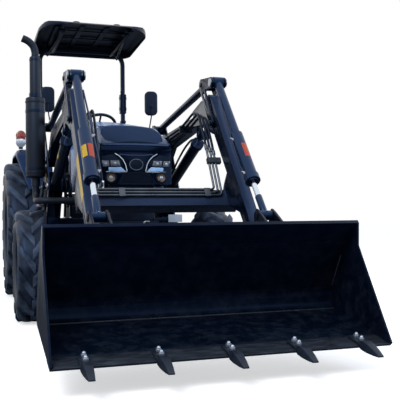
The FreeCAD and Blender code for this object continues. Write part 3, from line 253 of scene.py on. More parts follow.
cameraLook = {"place": (-1.167, rearAxle.y - 7.527, 0.788), "turn": 18.041, "up": 1.337, "roll": -0.638,
              "lens": 63.33}
turn, rise, roll = (math.radians(cameraLook[key]) for key in ("turn", "up", "roll"))
ahead = Vector((math.sin(turn) * math.cos(rise), math.cos(turn) * math.cos(rise), math.sin(rise)))
sideways = Vector((math.cos(turn), -math.sin(turn), 0))
upright = sideways.cross(ahead)
acrossRolled = sideways * math.cos(roll) + upright * math.sin(roll)
upRolled = upright * math.cos(roll) - sideways * math.sin(roll)
cameraData = bpy.data.cameras.new("camera")
cameraData.lens = cameraLook["lens"]
cameraData.sensor_width = 36
camera = bpy.data.objects.new("camera", cameraData)
bpy.context.scene.collection.objects.link(camera)
camera.matrix_world = Matrix.Translation(cameraLook["place"]) @ Matrix((acrossRolled, upRolled,
                                                                        -ahead)).transposed().to_4x4()
bpy.context.scene.camera = camera
bpy.context.scene.view_settings.view_transform = "Standard"

# ---- light: a bright overcast sky with one large soft lamp over each shoulder

lightLook = {"sky": "#dfe8f5", "skyPower": 0.55, "keyPower": 420.0, "fillPower": 170.0, "floor": "#f4f5f7",
             "floorGlow": 0.55}
world = bpy.data.worlds.new("sky")
bpy.context.scene.world = world
world.use_nodes = True
skyTree = world.node_tree
skyTree.nodes.clear()
rays = addNode(skyTree, "ShaderNodeLightPath")
seen = addNode(skyTree, "ShaderNodeMath", {0: rays.outputs["Is Camera Ray"],
                                           1: rays.outputs["Is Transmission Ray"]}, operation="MAXIMUM")
seen = addNode(skyTree, "ShaderNodeMath", {0: seen.outputs[0], 1: rays.outputs["Is Glossy Ray"]},
               operation="MAXIMUM")
soft = addNode(skyTree, "ShaderNodeBackground", {"Color": linear(lightLook["sky"]),
                                                 "Strength": lightLook["skyPower"]})
plain = addNode(skyTree, "ShaderNodeBackground", {"Color": linear("#ffffff"), "Strength": 1.0})
mixed = addNode(skyTree, "ShaderNodeMixShader", {0: seen.outputs[0], 1: soft.outputs[0],
                                                 2: plain.outputs[0]})
addNode(skyTree, "ShaderNodeOutputWorld", {"Surface": mixed.outputs[0]})


def areaLamp(name, place, aim, size, power, tint, inGloss=True):
    lamp = bpy.data.lights.new(name, "AREA")
    lamp.size = size
    lamp.energy = power
    lamp.color = linear(tint)[:3]
    holder = bpy.data.objects.new(name, lamp)
    bpy.context.scene.collection.objects.link(holder)
    holder.location = place
    holder.visible_glossy = inGloss
    holder.rotation_euler = (Vector(aim) - Vector(place)).to_track_quat("-Z", "Y").to_euler()


areaLamp("keyLamp", (-4.5, -6.0, 6.5), (0, -0.5, 0.8), 4.0, lightLook["keyPower"], "#ffffff")
areaLamp("fillLamp", (6.0, -3.0, 4.5), (0, 0, 0.8), 4.0, lightLook["fillPower"], "#e8f0ff")
areaLamp("rimLamp", (1.5, 6.5, 5.0), (0, 0, 1.2), 3.5, lightLook["fillPower"], "#ffffff", False)

floorMaterial, floorTree, floorShader, floorPlace = newMaterial("paleFloor")
floorShader.inputs["Roughness"].default_value = 0.9
floorTone = toneBetween(floorTree, noise(floorTree, floorPlace, 1.4, 2.0), lightLook["floor"], "#fafbfc")
floorRays = addNode(floorTree, "ShaderNodeLightPath")
# painted reflection: to glossy rays the ground is dark grey, as dark as the yard that such a machine stands
# on, while the camera sees it pale
floorToneWithPaintedReflection = toneBetween(floorTree, floorRays.outputs["Is Glossy Ray"], floorTone, "#4a525e")
floorTree.links.new(floorToneWithPaintedReflection, floorShader.inputs["Base Color"])
glow = addNode(floorTree, "ShaderNodeMath", {0: floorRays.outputs["Is Camera Ray"],
                                             1: lightLook["floorGlow"]}, operation="MULTIPLY")
floorShader.inputs["Emission Color"].default_value = linear("#ffffff")
floorTree.links.new(glow.outputs[0], floorShader.inputs["Emission Strength"])
bm = bmesh.new()
bmesh.ops.create_grid(bm, x_segments=1, y_segments=1, size=40)
mesh = bpy.data.meshes.new("floor")
bm.to_mesh(mesh)
bm.free()
floor = bpy.data.objects.new("floor", mesh)
bpy.context.scene.collection.objects.link(floor)
floor.location.z = -0.002
mesh.materials.append(floorMaterial)
print("camera, light and floor are set")

# ---- materials

enamelLook = {"colour": "#020712", "second": "#050d1e", "waveMm": 420, "dustMm": 45, "dustTop": 1.3,
              "dust": 0.22, "dustColour": "#3c444f", "rough": (0.16, 0.30), "peelMm": 14, "peel": 0.05,
              "reflect": "#7ba6f2", "gloss": 0.5, "sheen": 0.0, "film": 0.0, "filmColour": "#46587c"}


def enamel(name, **changes):
    # sprayed enamel over steel: near black with a blue cast, slow waves in the sheen, thin dust low down
    look = {**enamelLook, **changes}
    made = newMaterial(name)
    tree, place = made[1], made[3]
    slow = noise(tree, place, 1000 / look["waveMm"], 4.0, 0.6)
    tone = toneBetween(tree, slow, look["colour"], look["second"])
    grain = noise(tree, place, 1000 / look["dustMm"], 8.0, 0.7)
    height = addNode(tree, "ShaderNodeSeparateXYZ", {"Vector": place}).outputs["Z"]
    low = remapped(tree, height, (look["dust"], look["dust"] * 0.12), (0.0, look["dustTop"]))
    spots = remapped(tree, grain, (0.0, 1.0), (0.45, 0.75))
    dust = addNode(tree, "ShaderNodeMath", {0: spots, 1: low}, operation="MULTIPLY").outputs[0]
    dusty = toneBetween(tree, dust, tone, look["dustColour"])
    # painted highlight: what faces upwards is mixed towards a pale blue, the sky's reflection painted into
    # the colour, whichever way the piece is turned later
    facing = addNode(tree, "ShaderNodeTexCoord").outputs["Normal"]
    facingUp = addNode(tree, "ShaderNodeSeparateXYZ", {"Vector": facing}).outputs["Z"]
    film = remapped(tree, facingUp, (0.0, look["film"]), (0.15, 0.85))
    sheen = remapped(tree, slow, look["rough"], (0.3, 0.7))
    rough = addNode(tree, "ShaderNodeMath", {0: dust, 1: 0.8, 2: sheen}, operation="MULTIPLY_ADD",
                    use_clamp=True)
    peel = noise(tree, place, 1000 / look["peelMm"], 2.0)
    return finishMaterial(made, toneBetween(tree, film, dusty, look["filmColour"]), rough.outputs[0],
                          (peel, look["peel"], 0.002),
                          # painted reflection: the specular tint and the sheen tint are sky blue, so that
                          # the enamel's reflections of white lamps and a white sky come out blue
                          {"Specular Tint": look["reflect"], "Specular IOR Level": look["gloss"],
                           "Sheen Weight": look["sheen"], "Sheen Roughness": 0.25, "Sheen Tint": "#5f9ff2"})


def tyreRubber(name, dark, pale):
    # moulded carbon-black rubber: matt, grey in cloudy patches, its reflections painted a faint sky blue by
    # the specular tint; the lighter copy on the lugs is a painted highlight
    made = newMaterial(name)
    tree, place = made[1], made[3]
    cloud = noise(tree, place, 9.0, 6.0, 0.65)
    tone = addNode(tree, "ShaderNodeValToRGB", {"Fac": cloud})
    for stop, position, colour in zip(tone.color_ramp.elements, (0.35, 0.78), (dark, pale)):
        stop.color = linear(colour)
        stop.position = position
    return finishMaterial(made, tone.outputs[0], remapped(tree, cloud, (0.34, 0.62)),
                          (noise(tree, place, 160.0, 3.0), 0.25, 0.002), {"Specular Tint": "#8fb4f4"})


def bareMetal(name, colour, second, rough, streakMm, bump, metallic=1.0, streak=(1, 1, 1),
              reflect="#ffffff"):
    # metal without paint: streaks along one way and darker grime patches
    made = newMaterial(name)
    tree = made[1]
    stretch = addNode(tree, "ShaderNodeMapping", {"Vector": made[3], "Scale": streak})
    streaks = noise(tree, stretch.outputs[0], 1000 / streakMm, 5.0, 0.6)
    return finishMaterial(made, toneBetween(tree, streaks, colour, second),
                          remapped(tree, streaks, rough, (0.3, 0.7)), (streaks, bump, 0.001),
                          {"Metallic": metallic, "Specular Tint": reflect})


def grained(name, cells, cloud, colour, second, rough, relief, plain=None):
    # a cell pattern in relief under a cloudy colour: what plastics, tapes and vinyl share
    made = newMaterial(name)
    tree, place = made[1], made[3]
    pattern = addNode(tree, "ShaderNodeTexVoronoi", {"Vector": place, "Scale": cells[0]}, **cells[1])
    shade = noise(tree, place, *cloud)
    return finishMaterial(made, toneBetween(tree, shade, colour, second), remapped(tree, shade, rough),
                          (pattern.outputs["Distance"], *relief), plain)


def mouldedPlastic(name, grainMm, colour, second, rough, grain):
    # moulded sheet plastic with a fine pebbled grain
    return grained(name, (1000 / grainMm, {}), (6.0, 3.0), colour, second, rough, (grain, 0.001), blueSky)


def tape(name, colour, second):
    # stuck-on reflective tape with a fine cell pattern, slightly scuffed
    return grained(name, (120.0, {"distance": "CHEBYCHEV"}), (22.0, 6.0), colour, second, (0.3, 0.5),
                   (0.15, 0.0005))


def lampLens(name, flutes, colour, second, metallic=0.0, way="X"):
    # clear moulded lens with upright flutes over a bright reflector
    made = newMaterial(name)
    tree = made[1]
    wave = addNode(tree, "ShaderNodeTexWave", {"Vector": made[3], "Scale": flutes, "Distortion": 0.4,
                                               "Detail": 1.0}, bands_direction=way).outputs["Fac"]
    return finishMaterial(made, toneBetween(tree, wave, colour, second), remapped(tree, wave, (0.06, 0.2)),
                          (wave, 0.35, 0.002), {"Metallic": metallic, "Coat Weight": 1.0})


# painted reflection: the sky-blue specular tint given to black plastic and vinyl, so that their reflections
# of a white sky come out blue
blueSky = {"Specular Tint": "#86adf0"}
# in the enamels below, the amount and colour of the upward-facing blend are a painted sky highlight
hoodEnamel = enamel("glossHoodEnamel", dust=0.02, rough=(0.14, 0.20), gloss=0.42, sheen=0.7, film=0.20,
                    filmColour="#6f9ed8")
# painted reflection: the fenders get a lighter blue copy of the enamel, the sky's reflection painted into
# their colour
fenderPaintedSkyEnamel = enamel("glossFenderEnamelPaintedSky", colour="#0a1b38", second="#0f264a", dust=0.04,
                      rough=(0.18, 0.26), sheen=0.5)
loaderEnamel = enamel("loaderEnamel", dust=0.08, rough=(0.2, 0.32), gloss=0.32, film=0.55)
barrelEnamel = enamel("cylinderBarrelEnamel", colour="#04152b", second="#082038", dust=0.03,
                      rough=(0.2, 0.28), gloss=0.5, film=0.25)
bucketEnamel = enamel("bucketEnamel", colour="#01050f", second="#030a1a", gloss=0.25, rough=(0.30, 0.46),
                      dust=0.30, dustTop=0.8, dustMm=70)
frameEnamel = enamel("satinFrameEnamel", colour="#08090c", second="#0d0f14", rough=(0.32, 0.5), dust=0.3)
# painted reflection: the sloping nose panel gets a lighter blue copy of the enamel, the sky's reflection on
# the upward-facing slope painted into its colour
panelPaintedSkyEnamel = enamel("satinPanelEnamelPaintedSky", colour="#213a60", second="#2d4c7c", rough=(0.5, 0.6), dust=0.01,
                     gloss=0.2)
# painted highlight: a pale blue copy of the enamel for the ledge and the line above the oval, where light
# catches the edges
ledgePaintedHighlight = enamel("paleLedgeEnamelPaintedHighlight", colour="#3a4664", second="#4c5a7c", rough=(0.35, 0.45), dust=0.0,
                     gloss=0.4)
stackEnamel = enamel("heatProofEnamel", colour="#0d0f13", second="#171a20", rough=(0.45, 0.6), dust=0.10,
                     peelMm=9, peel=0.12, reflect="#a3bbe6")
rubber = tyreRubber("mouldedTyreRubber", dark="#080b10", pale="#2a313d")
# painted highlight: the lugs get a lighter copy of the rubber, the light on the lug tops painted into their
# colour
lugHighlightRubber = tyreRubber("lugRubberPaintedHighlight", dark="#141a24", pale="#4a5668")
hardChrome = bareMetal("hardChromedRod", streakMm=60, colour="#c9d6ea", second="#e6edf6",
                       rough=(0.08, 0.16), bump=0.02)
wornSteel = bareMetal("scouredSteel", streak=(1, 4, 1), streakMm=90, colour="#1c222d", second="#4a5464",
                      rough=(0.35, 0.6), bump=0.25, metallic=0.8)
toothSteel = bareMetal("castToothSteel", streakMm=40, colour="#141c2b", second="#2a3547",
                       rough=(0.38, 0.58), bump=0.3, metallic=0.5)
zincSteel = bareMetal("zincPlatedSteel", streakMm=35, colour="#8a929c", second="#b9bfc8",
                      rough=(0.22, 0.38), bump=0.06)
linePipe = bareMetal("paintedLinePipe", streakMm=70, colour="#3c444f", second="#6a7380", rough=(0.25, 0.4),
                     bump=0.05, metallic=0.9)
# painted reflection: the cast iron's specular tint is sky blue
castIron = bareMetal("paintedCastIron", streakMm=25, colour="#07090d", second="#12161d", rough=(0.5, 0.72),
                     bump=0.5, metallic=0.0, reflect="#86adf0")
brightTrim = bareMetal("brightPlatedTrim", streakMm=30, colour="#9aa7b8", second="#cdd6e2",
                       rough=(0.15, 0.28), bump=0.02)
dimTrim = bareMetal("agedPlatedTrim", streakMm=30, colour="#515a6c", second="#7c8598", rough=(0.3, 0.45),
                    bump=0.02, metallic=0.9)
mirrorGlass = bareMetal("silveredMirrorGlass", streakMm=200, colour="#cdd6df", second="#dde4ea",
                        rough=(0.02, 0.05), bump=0.0)
boltZinc = bareMetal("plainZincBolt", streakMm=60, colour="#7f8b9c", second="#b7c2d2", rough=(0.3, 0.42),
                     bump=0.02, metallic=0.8)
paleWeld = bareMetal("greyWeldBead", streakMm=18, colour="#1b222d", second="#4b5563", rough=(0.4, 0.6),
                     bump=0.3, metallic=0.5)
canopyPlastic = mouldedPlastic("thermoformedCanopyAbs", grainMm=6, colour="#05070b", second="#0b0f15",
                               rough=(0.28, 0.42), grain=0.06)
trimPlastic = mouldedPlastic("mouldedTrimPlastic", grainMm=4, colour="#08090c", second="#0e1015",
                             rough=(0.4, 0.55), grain=0.12)
grillePlastic = mouldedPlastic("mouldedGrillePlastic", grainMm=5, colour="#030406", second="#08090d",
                               rough=(0.5, 0.65), grain=0.1)
hoseRubber = mouldedPlastic("hydraulicHoseRubber", grainMm=5, colour="#06070a", second="#0d1016",
                            rough=(0.35, 0.5), grain=0.2)
gripRubber = mouldedPlastic("steeringWheelRubber", grainMm=5, colour="#07080a", second="#0c0e12",
                            rough=(0.42, 0.6), grain=0.15)
# painted shade: a near-black, matt plastic for the sheet that stands for the shade behind the grille bars
shadowPlastic = mouldedPlastic("grilleBackingPaintedShade", grainMm=5, colour="#010103", second="#040509",
                               rough=(0.7, 0.85), grain=0.1)
clearLens = lampLens("clearLampLens", flutes=60.0, colour="#5d6c80", second="#cfdcea", metallic=0.35)
smokedLens = lampLens("smokedLampLens", flutes=40.0, colour="#0a1220", second="#1c2a40", metallic=0.2)
redLens = lampLens("redLampLens", flutes=70.0, way="Z", colour="#5c120c", second="#a3291c")
shadedLens = lampLens("shadedLampLens", flutes=55.0, colour="#1c2534", second="#7d8ca0", metallic=0.3)
amberLens = lampLens("warmFogLens", flutes=50.0, way="Z", colour="#241d1a", second="#7c6450", metallic=0.4)
paleLamp = lampLens("frostedLampStrip", flutes=90.0, colour="#6fa8e6", second="#a6d0f8")
yellowTape = tape("yellowVinylTape", colour="#c9a313", second="#a8860c")
redTape = tape("orangeRedVinylTape", colour="#b8401f", second="#93301a")
orangeTape = tape("orangeReflectorTape", colour="#c4741b", second="#8d4f14")
blueCap = tape("bluePlasticCap", colour="#1c3f9a", second="#14307a")
paleTape = tape("whiteVinylTape", colour="#a9b4c4", second="#8792a3")
# soft vinyl over foam: satin black with a leather-like grain
vinyl = grained("grainedSeatVinyl", (230.0, {"feature": "SMOOTH_F1"}), (12.0, 4.0), "#07090d", "#10131a",
                (0.38, 0.55), (0.35, 0.001), blueSky)

nodeMaterial = {}
for names, material in (
        ("hood nose dashboard", hoodEnamel), ("fenders", fenderPaintedSkyEnamel), ("tilt_barrels", barrelEnamel),
        ("boom cranks levelling_rods lift_barrels loader_masts mast_brackets", loaderEnamel),
        ("bucket", bucketEnamel), ("canopy", canopyPlastic), ("front_grille", grillePlastic),
        ("radiator front_frame platform seat_base lower_links lift_arms hitch_rods top_link", frameEnamel),
        ("drawbar roll_bar canopy_brackets", frameEnamel),
        ("rear_rim_left rear_rim_right front_rim_left front_rim_right", frameEnamel),
        ("engine_block transmission_housing rear_axle front_axle knuckle_left knuckle_right", castIron),
        ("muffler exhaust_outlet exhaust_downpipe", stackEnamel), ("mirrors tail_lamps", trimPlastic),
        ("tilt_rods lift_rods", hardChrome), ("cutting_edge", wornSteel), ("bucket_teeth", toothSteel),
        ("tilt_pins bucket_pins", zincSteel), ("boom_pipes", linePipe), ("boom_hoses", hoseRubber),
        ("headlamps", smokedLens), ("fog_lamps", amberLens), ("steering_wheel", gripRubber),
        ("seat_cushion seat_backrest", vinyl),
        ("rear_tyre_left rear_tyre_right front_tyre_left front_tyre_right", rubber)):
    for nodeName in names.split():
        nodeMaterial[nodeName] = material
for nodeName, node in nodes.items():
    node.data.materials.clear()
    node.data.materials.append(nodeMaterial[nodeName])

# plates and castings get rounded edges, so that they catch the light as real ones do
edgeWidths = {"boom": 0.004, "cranks": 0.003, "loader_masts": 0.003, "bucket": 0.003, "platform": 0.003,
              "engine_block": 0.012, "transmission_housing": 0.015, "rear_axle": 0.01, "front_axle": 0.01,
              "front_frame": 0.005, "radiator": 0.006, "hood": 0.004, "nose": 0.006, "fenders": 0.003,
              "dashboard": 0.008, "roll_bar": 0.006, "mast_brackets": 0.006, "bucket_teeth": 0.003,
              "cutting_edge": 0.002, "seat_base": 0.006, "canopy": 0.004, "lower_links": 0.003,
              "drawbar": 0.004, "canopy_brackets": 0.004, "knuckle_left": 0.004, "knuckle_right": 0.004,
              "headlamps": 0.004}
for nodeName, width in edgeWidths.items():
    node = nodes[nodeName]
    weld = node.modifiers.new("weld", "WELD")
    weld.merge_threshold = 0.00005
    flat = node.modifiers.new("flat", "DECIMATE")
    flat.decimate_type = "DISSOLVE"
    flat.angle_limit = math.radians(0.6)
    edge = node.modifiers.new("edge", "BEVEL")
    edge.width = width
    edge.segments = 2
    edge.limit_method = "ANGLE"
    edge.angle_limit = math.radians(35)
    edge.harden_normals = True
for node in nodes.values():
    node.data.shade_smooth()
    node.data.set_sharp_from_angle(angle=math.radians(35))
print("materials are on every node")

# ---- tyres

tyreLook = {
    "rear": {"lugs": 17, "lugHeight": 0.036, "bead": 0.356, "barWidth": 0.34},
    "front": {"lugs": 13, "lugHeight": 0.026, "bead": 0.205, "barWidth": 0.34}}


def tyreLug(side, angle, step, half, radius, look):
    bm = bmesh.new()
    bmesh.ops.create_cube(bm, size=1.0)
    long = [e for e in bm.edges if extent(e, "x") > 0.5]
    bmesh.ops.subdivide_edges(bm, edges=long, cuts=5, use_grid_fill=True)
    top = [e for e in bm.edges if min(v.co.z for v in e.verts) > 0.4
           and (extent(e, "y") > 0.5 and abs(e.verts[0].co.x) > 0.4 or extent(e, "x") > 0.01)]
    roundEdges(bm, top, 0.10)
    deep = look["lugHeight"] + 0.02
    width = look["barWidth"] * radius * step
    for vert in bm.verts:
        along, wide, high = vert.co.x + 0.5, vert.co.y, 0.5 - vert.co.z
        drop = 0.024 * max(0.0, (along - 0.72) / 0.28) ** 2
        reach = radius - 0.001 - deep * high - drop
        spread = wide * width * (1 + 0.38 * high)
        place = -0.010 + (half - 0.001 + 0.010) * along
        turning = angle + step * (0.85 * along ** 1.12) + spread / reach
        vert.co = Vector((side * place, reach * math.sin(turning), reach * math.cos(turning)))
    bmesh.ops.recalc_face_normals(bm, faces=bm.faces)
    return bm


def tyre(nodeName, body, look):
    low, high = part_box(nodeName)
    centre = (low + high) / 2
    radius, half = (high.z - low.z) / 2, (high.x - low.x) / 2
    bead, crown = look["bead"] + 0.0006, radius - look["lugHeight"]
    wall = crown - bead
    profile = [(half - 0.042, bead), (half - 0.034, bead + 0.010), (half - 0.026, bead + 0.018),
               (half - 0.018, bead + 0.022), (half - 0.016, bead + 0.030),
               (half - 0.010, bead + 0.25 * wall), (half - 0.002, bead + 0.42 * wall),
               (half - 0.001, bead + 0.55 * wall), (half - 0.003, bead + 0.66 * wall),
               (half - 0.007, bead + 0.70 * wall), (half - 0.005, bead + 0.74 * wall),
               (half - 0.010, bead + 0.84 * wall), (half - 0.024, bead + 0.94 * wall),
               (half - 0.050, bead + 0.985 * wall), (0.5 * half, crown - 0.002), (0.0, crown)]
    outline = profile + [(-x, r) for x, r in reversed(profile[:-1])]
    bm = turned(outline, 96)
    step = 2 * math.pi / look["lugs"]
    for side in (-1, 1):
        for index in range(look["lugs"]):
            merge(bm, tyreLug(side, (index + 0.25 * side) * step, step, half, radius, look), 1)
    bm.transform(Matrix.Translation(centre))
    return finishPiece(nodeName + "_tread", bm, [rubber, lugHighlightRubber], body, (nodeName,), 42)


for side in ("left", "right"):
    tyre("rear_tyre_" + side, "rear_wheel_" + side, tyreLook["rear"])
    tyre("front_tyre_" + side, "front_wheel_" + side, tyreLook["front"])
print("tyres are made")

# ---- front of the hood


def spot(x, y, z):
    # metres: across, behind the rear axle, above the ground
    return Vector((x, rearAxle.y + y, z))


def dome(centre, axis, radius, height, steps=32):
    profile = [(0, radius)]
    for index in range(1, 7):
        bend = math.pi / 2 * index / 6
        profile.append((height * math.sin(bend), max(radius * math.cos(bend), 0.0004)))
    return turned(profile + [(0, 0.0004)], steps, axis, centre)


def ribbon(points, width, thick, facing):
    # flat strip that follows points, its broad side turned to a direction
    bm = bmesh.new()
    rows = []
    for index, point in enumerate(points):
        before, after = points[max(index - 1, 0)], points[min(index + 1, len(points) - 1)]
        way = (after - before).normalized()
        side = way.cross(facing).normalized() * (width / 2)
        lift = facing.normalized() * thick
        rows.append([bm.verts.new(point + step) for step in (-side, side, side + lift, lift - side)])
    return joinRings(bm, rows)


noseLook = {"front": -2.425}
front = noseLook["front"]


def onFront(*places):
    return [spot(x, front, z) for x, z in places]


bm = bmesh.new()
housing = onFront((0.100, 1.166), (0.252, 1.160), (0.262, 1.190), (0.258, 1.236), (0.178, 1.252),
                  (0.112, 1.205))
addPair(bm, prism(housing, forwards * 0.004, 0.001))
for lens, bowl in ((((0.258, 1.206), (0.206, 1.203), (0.201, 1.163), (0.250, 1.160)), (0.229, 1.183)),
                   (((0.196, 1.207), (0.130, 1.206), (0.119, 1.166), (0.191, 1.163)), (0.160, 1.186))):
    addPair(bm, prism([spot(x, front - 0.004, z) for x, z in lens], forwards * 0.008, 0.003), 2)
    eye = spot(bowl[0], front, bowl[1])
    addPair(bm, turned([(0.010, 0.0165), (0.0145, 0.0180), (0.0145, 0.0155), (0.010, 0.0140)], 36, forwards,
                       eye), 1)
    addPair(bm, dome(eye + forwards * 0.009, forwards, 0.0125, 0.006), 5)
addPair(bm, prism(onFront((0.080, 1.126), (0.206, 1.126), (0.208, 1.156), (0.114, 1.159)), forwards * 0.006,
                  0.002), 3)
sweep = onFront((0.160, 1.258), (0.128, 1.240), (0.100, 1.212), (0.082, 1.178), (0.070, 1.128))
addPair(bm, ribbon(sweep, 0.006, 0.008, forwards), 4)
addPair(bm, ribbon(onFront((0.070, 1.124), (0.150, 1.121), (0.226, 1.124)), 0.003, 0.006, forwards), 4)
finishPiece("headlampUnits", bm, [grillePlastic, dimTrim, shadedLens, paleLamp, brightTrim, clearLens],
            "chassis", ("headlamps",))

fogLook = {"x": 0.190, "z": 1.080}
bm = bmesh.new()
fog = spot(fogLook["x"], front, fogLook["z"])
addPair(bm, turned([(0, 0.0004), (0.006, 0.0004), (0.006, 0.041), (0.012, 0.043), (0.014, 0.040),
                    (0.014, 0.034), (0.007, 0.030), (0.007, 0.012), (0, 0.012)], 40, forwards, fog))
addPair(bm, turned([(0.007, 0.006), (0.008, 0.016), (0.012, 0.030), (0.007, 0.030)], 40, forwards, fog), 1)
addPair(bm, dome(fog + forwards * 0.007, forwards, 0.015, 0.008), 2)
finishPiece("fogLampUnits", bm, [grillePlastic, amberLens, clearLens], "chassis",
            ("fog_lamps",))

grilleLook = {"top": (0.088, 1.116), "bottom": (0.128, 1.034), "bars": 9, "rows": 6}
bm = bmesh.new()
(topHalf, topZ), (lowHalf, lowZ) = grilleLook["top"], grilleLook["bottom"]
corners = onFront((-lowHalf, lowZ), (lowHalf, lowZ), (topHalf, topZ), (-topHalf, topZ))
# the near-black sheet across the opening is painted shade behind the bars
merge(bm, prism(corners, forwards * 0.002, 0.0))
merge(bm, ribbon(corners + corners[:1], 0.008, 0.008, forwards), 1)
for index in range(1, grilleLook["rows"]):
    share = index / grilleLook["rows"]
    half = lowHalf + (topHalf - lowHalf) * share
    z = lowZ + (topZ - lowZ) * share
    merge(bm, ribbon([spot(-half, front, z), spot(half, front, z)], 0.004, 0.006, forwards), 1)
for index in range(-grilleLook["bars"], grilleLook["bars"] + 1):
    share = index / grilleLook["bars"]
    merge(bm, ribbon([spot(lowHalf * share, front, lowZ), spot(topHalf * share, front, topZ)], 0.003, 0.005,
                     forwards), 1)
finishPiece("lowerGrille", bm, [shadowPlastic, grillePlastic], "chassis",
            ("front_grille",))

# a raised gloss strip under the crease, the sloping panel above it, in a lighter blue that is a painted sky
# reflection, and the bare oval between the lamps
panelLook = {"slopeLow": (-2.420, 1.334), "slopeHigh": (-2.150, 1.482), "lift": 0.003}
bm = bmesh.new()
strip = onFront((-0.262, 1.268), (0.262, 1.268), (0.264, 1.312), (-0.264, 1.312))
merge(bm, prism(strip, forwards * 0.005, 0.002))
(y0, z0), (y1, z1) = panelLook["slopeLow"], panelLook["slopeHigh"]
outward = Vector((0, z0 - z1, y1 - y0)).normalized()
panel = bmesh.new()
rows = []
for row in range(9):
    share = row / 8
    reach = (0.208 + 0.022 * math.sin(math.pi * share)) * (0.90, 0.97, 1, 1, 1, 1, 1, 0.97, 0.90)[row]
    line = []
    for column in range(-10, 11):
        bulge = panelLook["lift"] + 0.015 * (1 - (column / 10) ** 2)
        place = spot(reach * column / 10, y0 + (y1 - y0) * share, z0 + (z1 - z0) * share)
        line.append(panel.verts.new(place + outward * bulge))
    rows.append(line)
for first, second in zip(rows, rows[1:]):
    for index in range(20):
        panel.faces.new((first[index], first[index + 1], second[index + 1], second[index]))
bmesh.ops.solidify(panel, geom=panel.faces[:], thickness=0.004)
merge(bm, panel, 3)
merge(bm, ribbon([spot(-0.075, front, 1.262), spot(-0.060, front, 1.226), spot(0.060, front, 1.226),
                  spot(0.075, front, 1.262)], 0.003, 0.003, forwards))
oval = [spot(0.050 * math.cos(turn), front,
             1.178 + 0.040 * math.sin(turn)) for turn in (math.tau * index / 40 for index in range(40))]
merge(bm, prism(oval, forwards * 0.004, 0.001), 1)
merge(bm, ribbon(oval + oval[:2], 0.0042, 0.0065, forwards), 2)
# a pale ledge below the panel and a thin line above the oval, in a pale blue that is a painted highlight
ledge = [spot(x, front, 1.325 + 0.004 * math.cos(x * 6)) for x in (-0.250, -0.150, 0.0, 0.150, 0.250)]
merge(bm, ribbon(ledge, 0.012, 0.007, forwards), 4)
merge(bm, ribbon(onFront((-0.126, 1.254), (-0.060, 1.248), (0.060, 1.248), (0.126, 1.254)), 0.005, 0.005,
                 forwards), 4)
merge(bm, ribbon(onFront((-0.150, 1.118), (-0.098, 1.112), (-0.138, 1.034)), 0.003, 0.003, forwards))
merge(bm, ribbon(onFront((0.150, 1.118), (0.098, 1.112), (0.138, 1.034)), 0.003, 0.003, forwards))
finishPiece("noseTrim", bm, [hoodEnamel, grillePlastic, dimTrim, panelPaintedSkyEnamel, ledgePaintedHighlight], "chassis")
print("front of the hood is made")

# ---- mirrors and tail lamps

mirrorLook = {"centre": (0.490, -0.950, 1.883), "size": (0.122, 0.034, 0.232), "corner": 0.044,
              "rim": 0.012, "glass": (0.100, 0.004, 0.208), "glassCorner": 0.034, "glassBack": 0.016,
              "stalk": 0.006, "clamp": 0.022}
bm = bmesh.new()
mirrorPlace = spot(*mirrorLook["centre"])
shell = roundedBlock(mirrorLook["size"], 0.0)
upright = [e for e in shell.edges if extent(e, "y") > 0.01]
roundEdges(shell, upright, mirrorLook["corner"], 8)
rims = [e for e in shell.edges if extent(e, "y") < 0.001 and e.verts[0].co.y < 0]
roundEdges(shell, rims, mirrorLook["rim"], 4)
addPair(bm, shell, 0, mirrorPlace)
glass = roundedBlock(mirrorLook["glass"], 0.0)
upright = [e for e in glass.edges if extent(e, "y") > 0.003]
roundEdges(glass, upright, mirrorLook["glassCorner"], 6)
addPair(bm, glass, 1, mirrorPlace + Vector((0, mirrorLook["glassBack"], 0)))
addPair(bm, roundBar(mirrorPlace + Vector((0, -0.030, -0.030)), mirrorPlace + Vector((0, -0.010, -0.030)),
                     0.016, 24, 0.002))
stalk = [spot(0.286, -0.950, 1.440), spot(0.400, -0.950, 1.452), spot(0.462, -0.955, 1.600),
         spot(0.490, -0.975, 1.780), mirrorPlace + Vector((0, -0.024, -0.030))]
for start, end in zip(stalk, stalk[1:]):
    addPair(bm, roundBar(start, end, mirrorLook["stalk"], 12), 2)
    collar = (end - start).normalized() * 0.004
    addPair(bm, roundBar(end - collar, end + collar, mirrorLook["stalk"] + 0.0002, 12), 2)
addPair(bm, roundBar(spot(0.286, -0.950, 1.440), spot(0.300, -0.950, 1.441), mirrorLook["clamp"], 24,
                     0.002), 2)
finishPiece("mirrorHeads", bm, [trimPlastic, mirrorGlass, frameEnamel], "chassis",
            ("mirrors",))

tailLook = {"x": 0.690, "low": 1.547, "high": 1.617, "radius": 0.049, "front": -0.315, "middle": 1.582,
            "footZ": 1.500}
bm = bmesh.new()
for z, paint in ((tailLook["low"], 1), (tailLook["high"], 0)):
    addPair(bm, turned([(0, 0.0004), (0, 0.034), (0.006, tailLook["radius"]), (0.044, tailLook["radius"]),
                        (0.052, 0.036), (0.053, 0.0004)], 32, Vector((0, 1, 0)),
                       spot(tailLook["x"], tailLook["front"], z)), paint)
addPair(bm, roundedBlock((0.09, 0.040, 0.062), 0.006), 0, spot(tailLook["x"], tailLook["front"] + 0.026,
                                                               tailLook["middle"]))
addPair(bm, roundedBlock((0.092, 0.046, 0.006), 0.002), 2, spot(tailLook["x"], tailLook["front"] + 0.026,
                                                                tailLook["middle"]))
addPair(bm, roundedBlock((0.040, 0.030, 0.036), 0.004), 2, spot(tailLook["x"], tailLook["front"] + 0.028,
                                                                tailLook["footZ"]))
finishPiece("tailLampUnits", bm, [redLens, clearLens, trimPlastic], "chassis", ("tail_lamps",))
print("mirrors and tail lamps are made")

# ---- bucket: welds and bolted teeth

bucketLook = {"lean": 10.3, "back": 0.834, "up": 0.216, "half": 0.848, "pitch": 0.345, "teeth": 5}


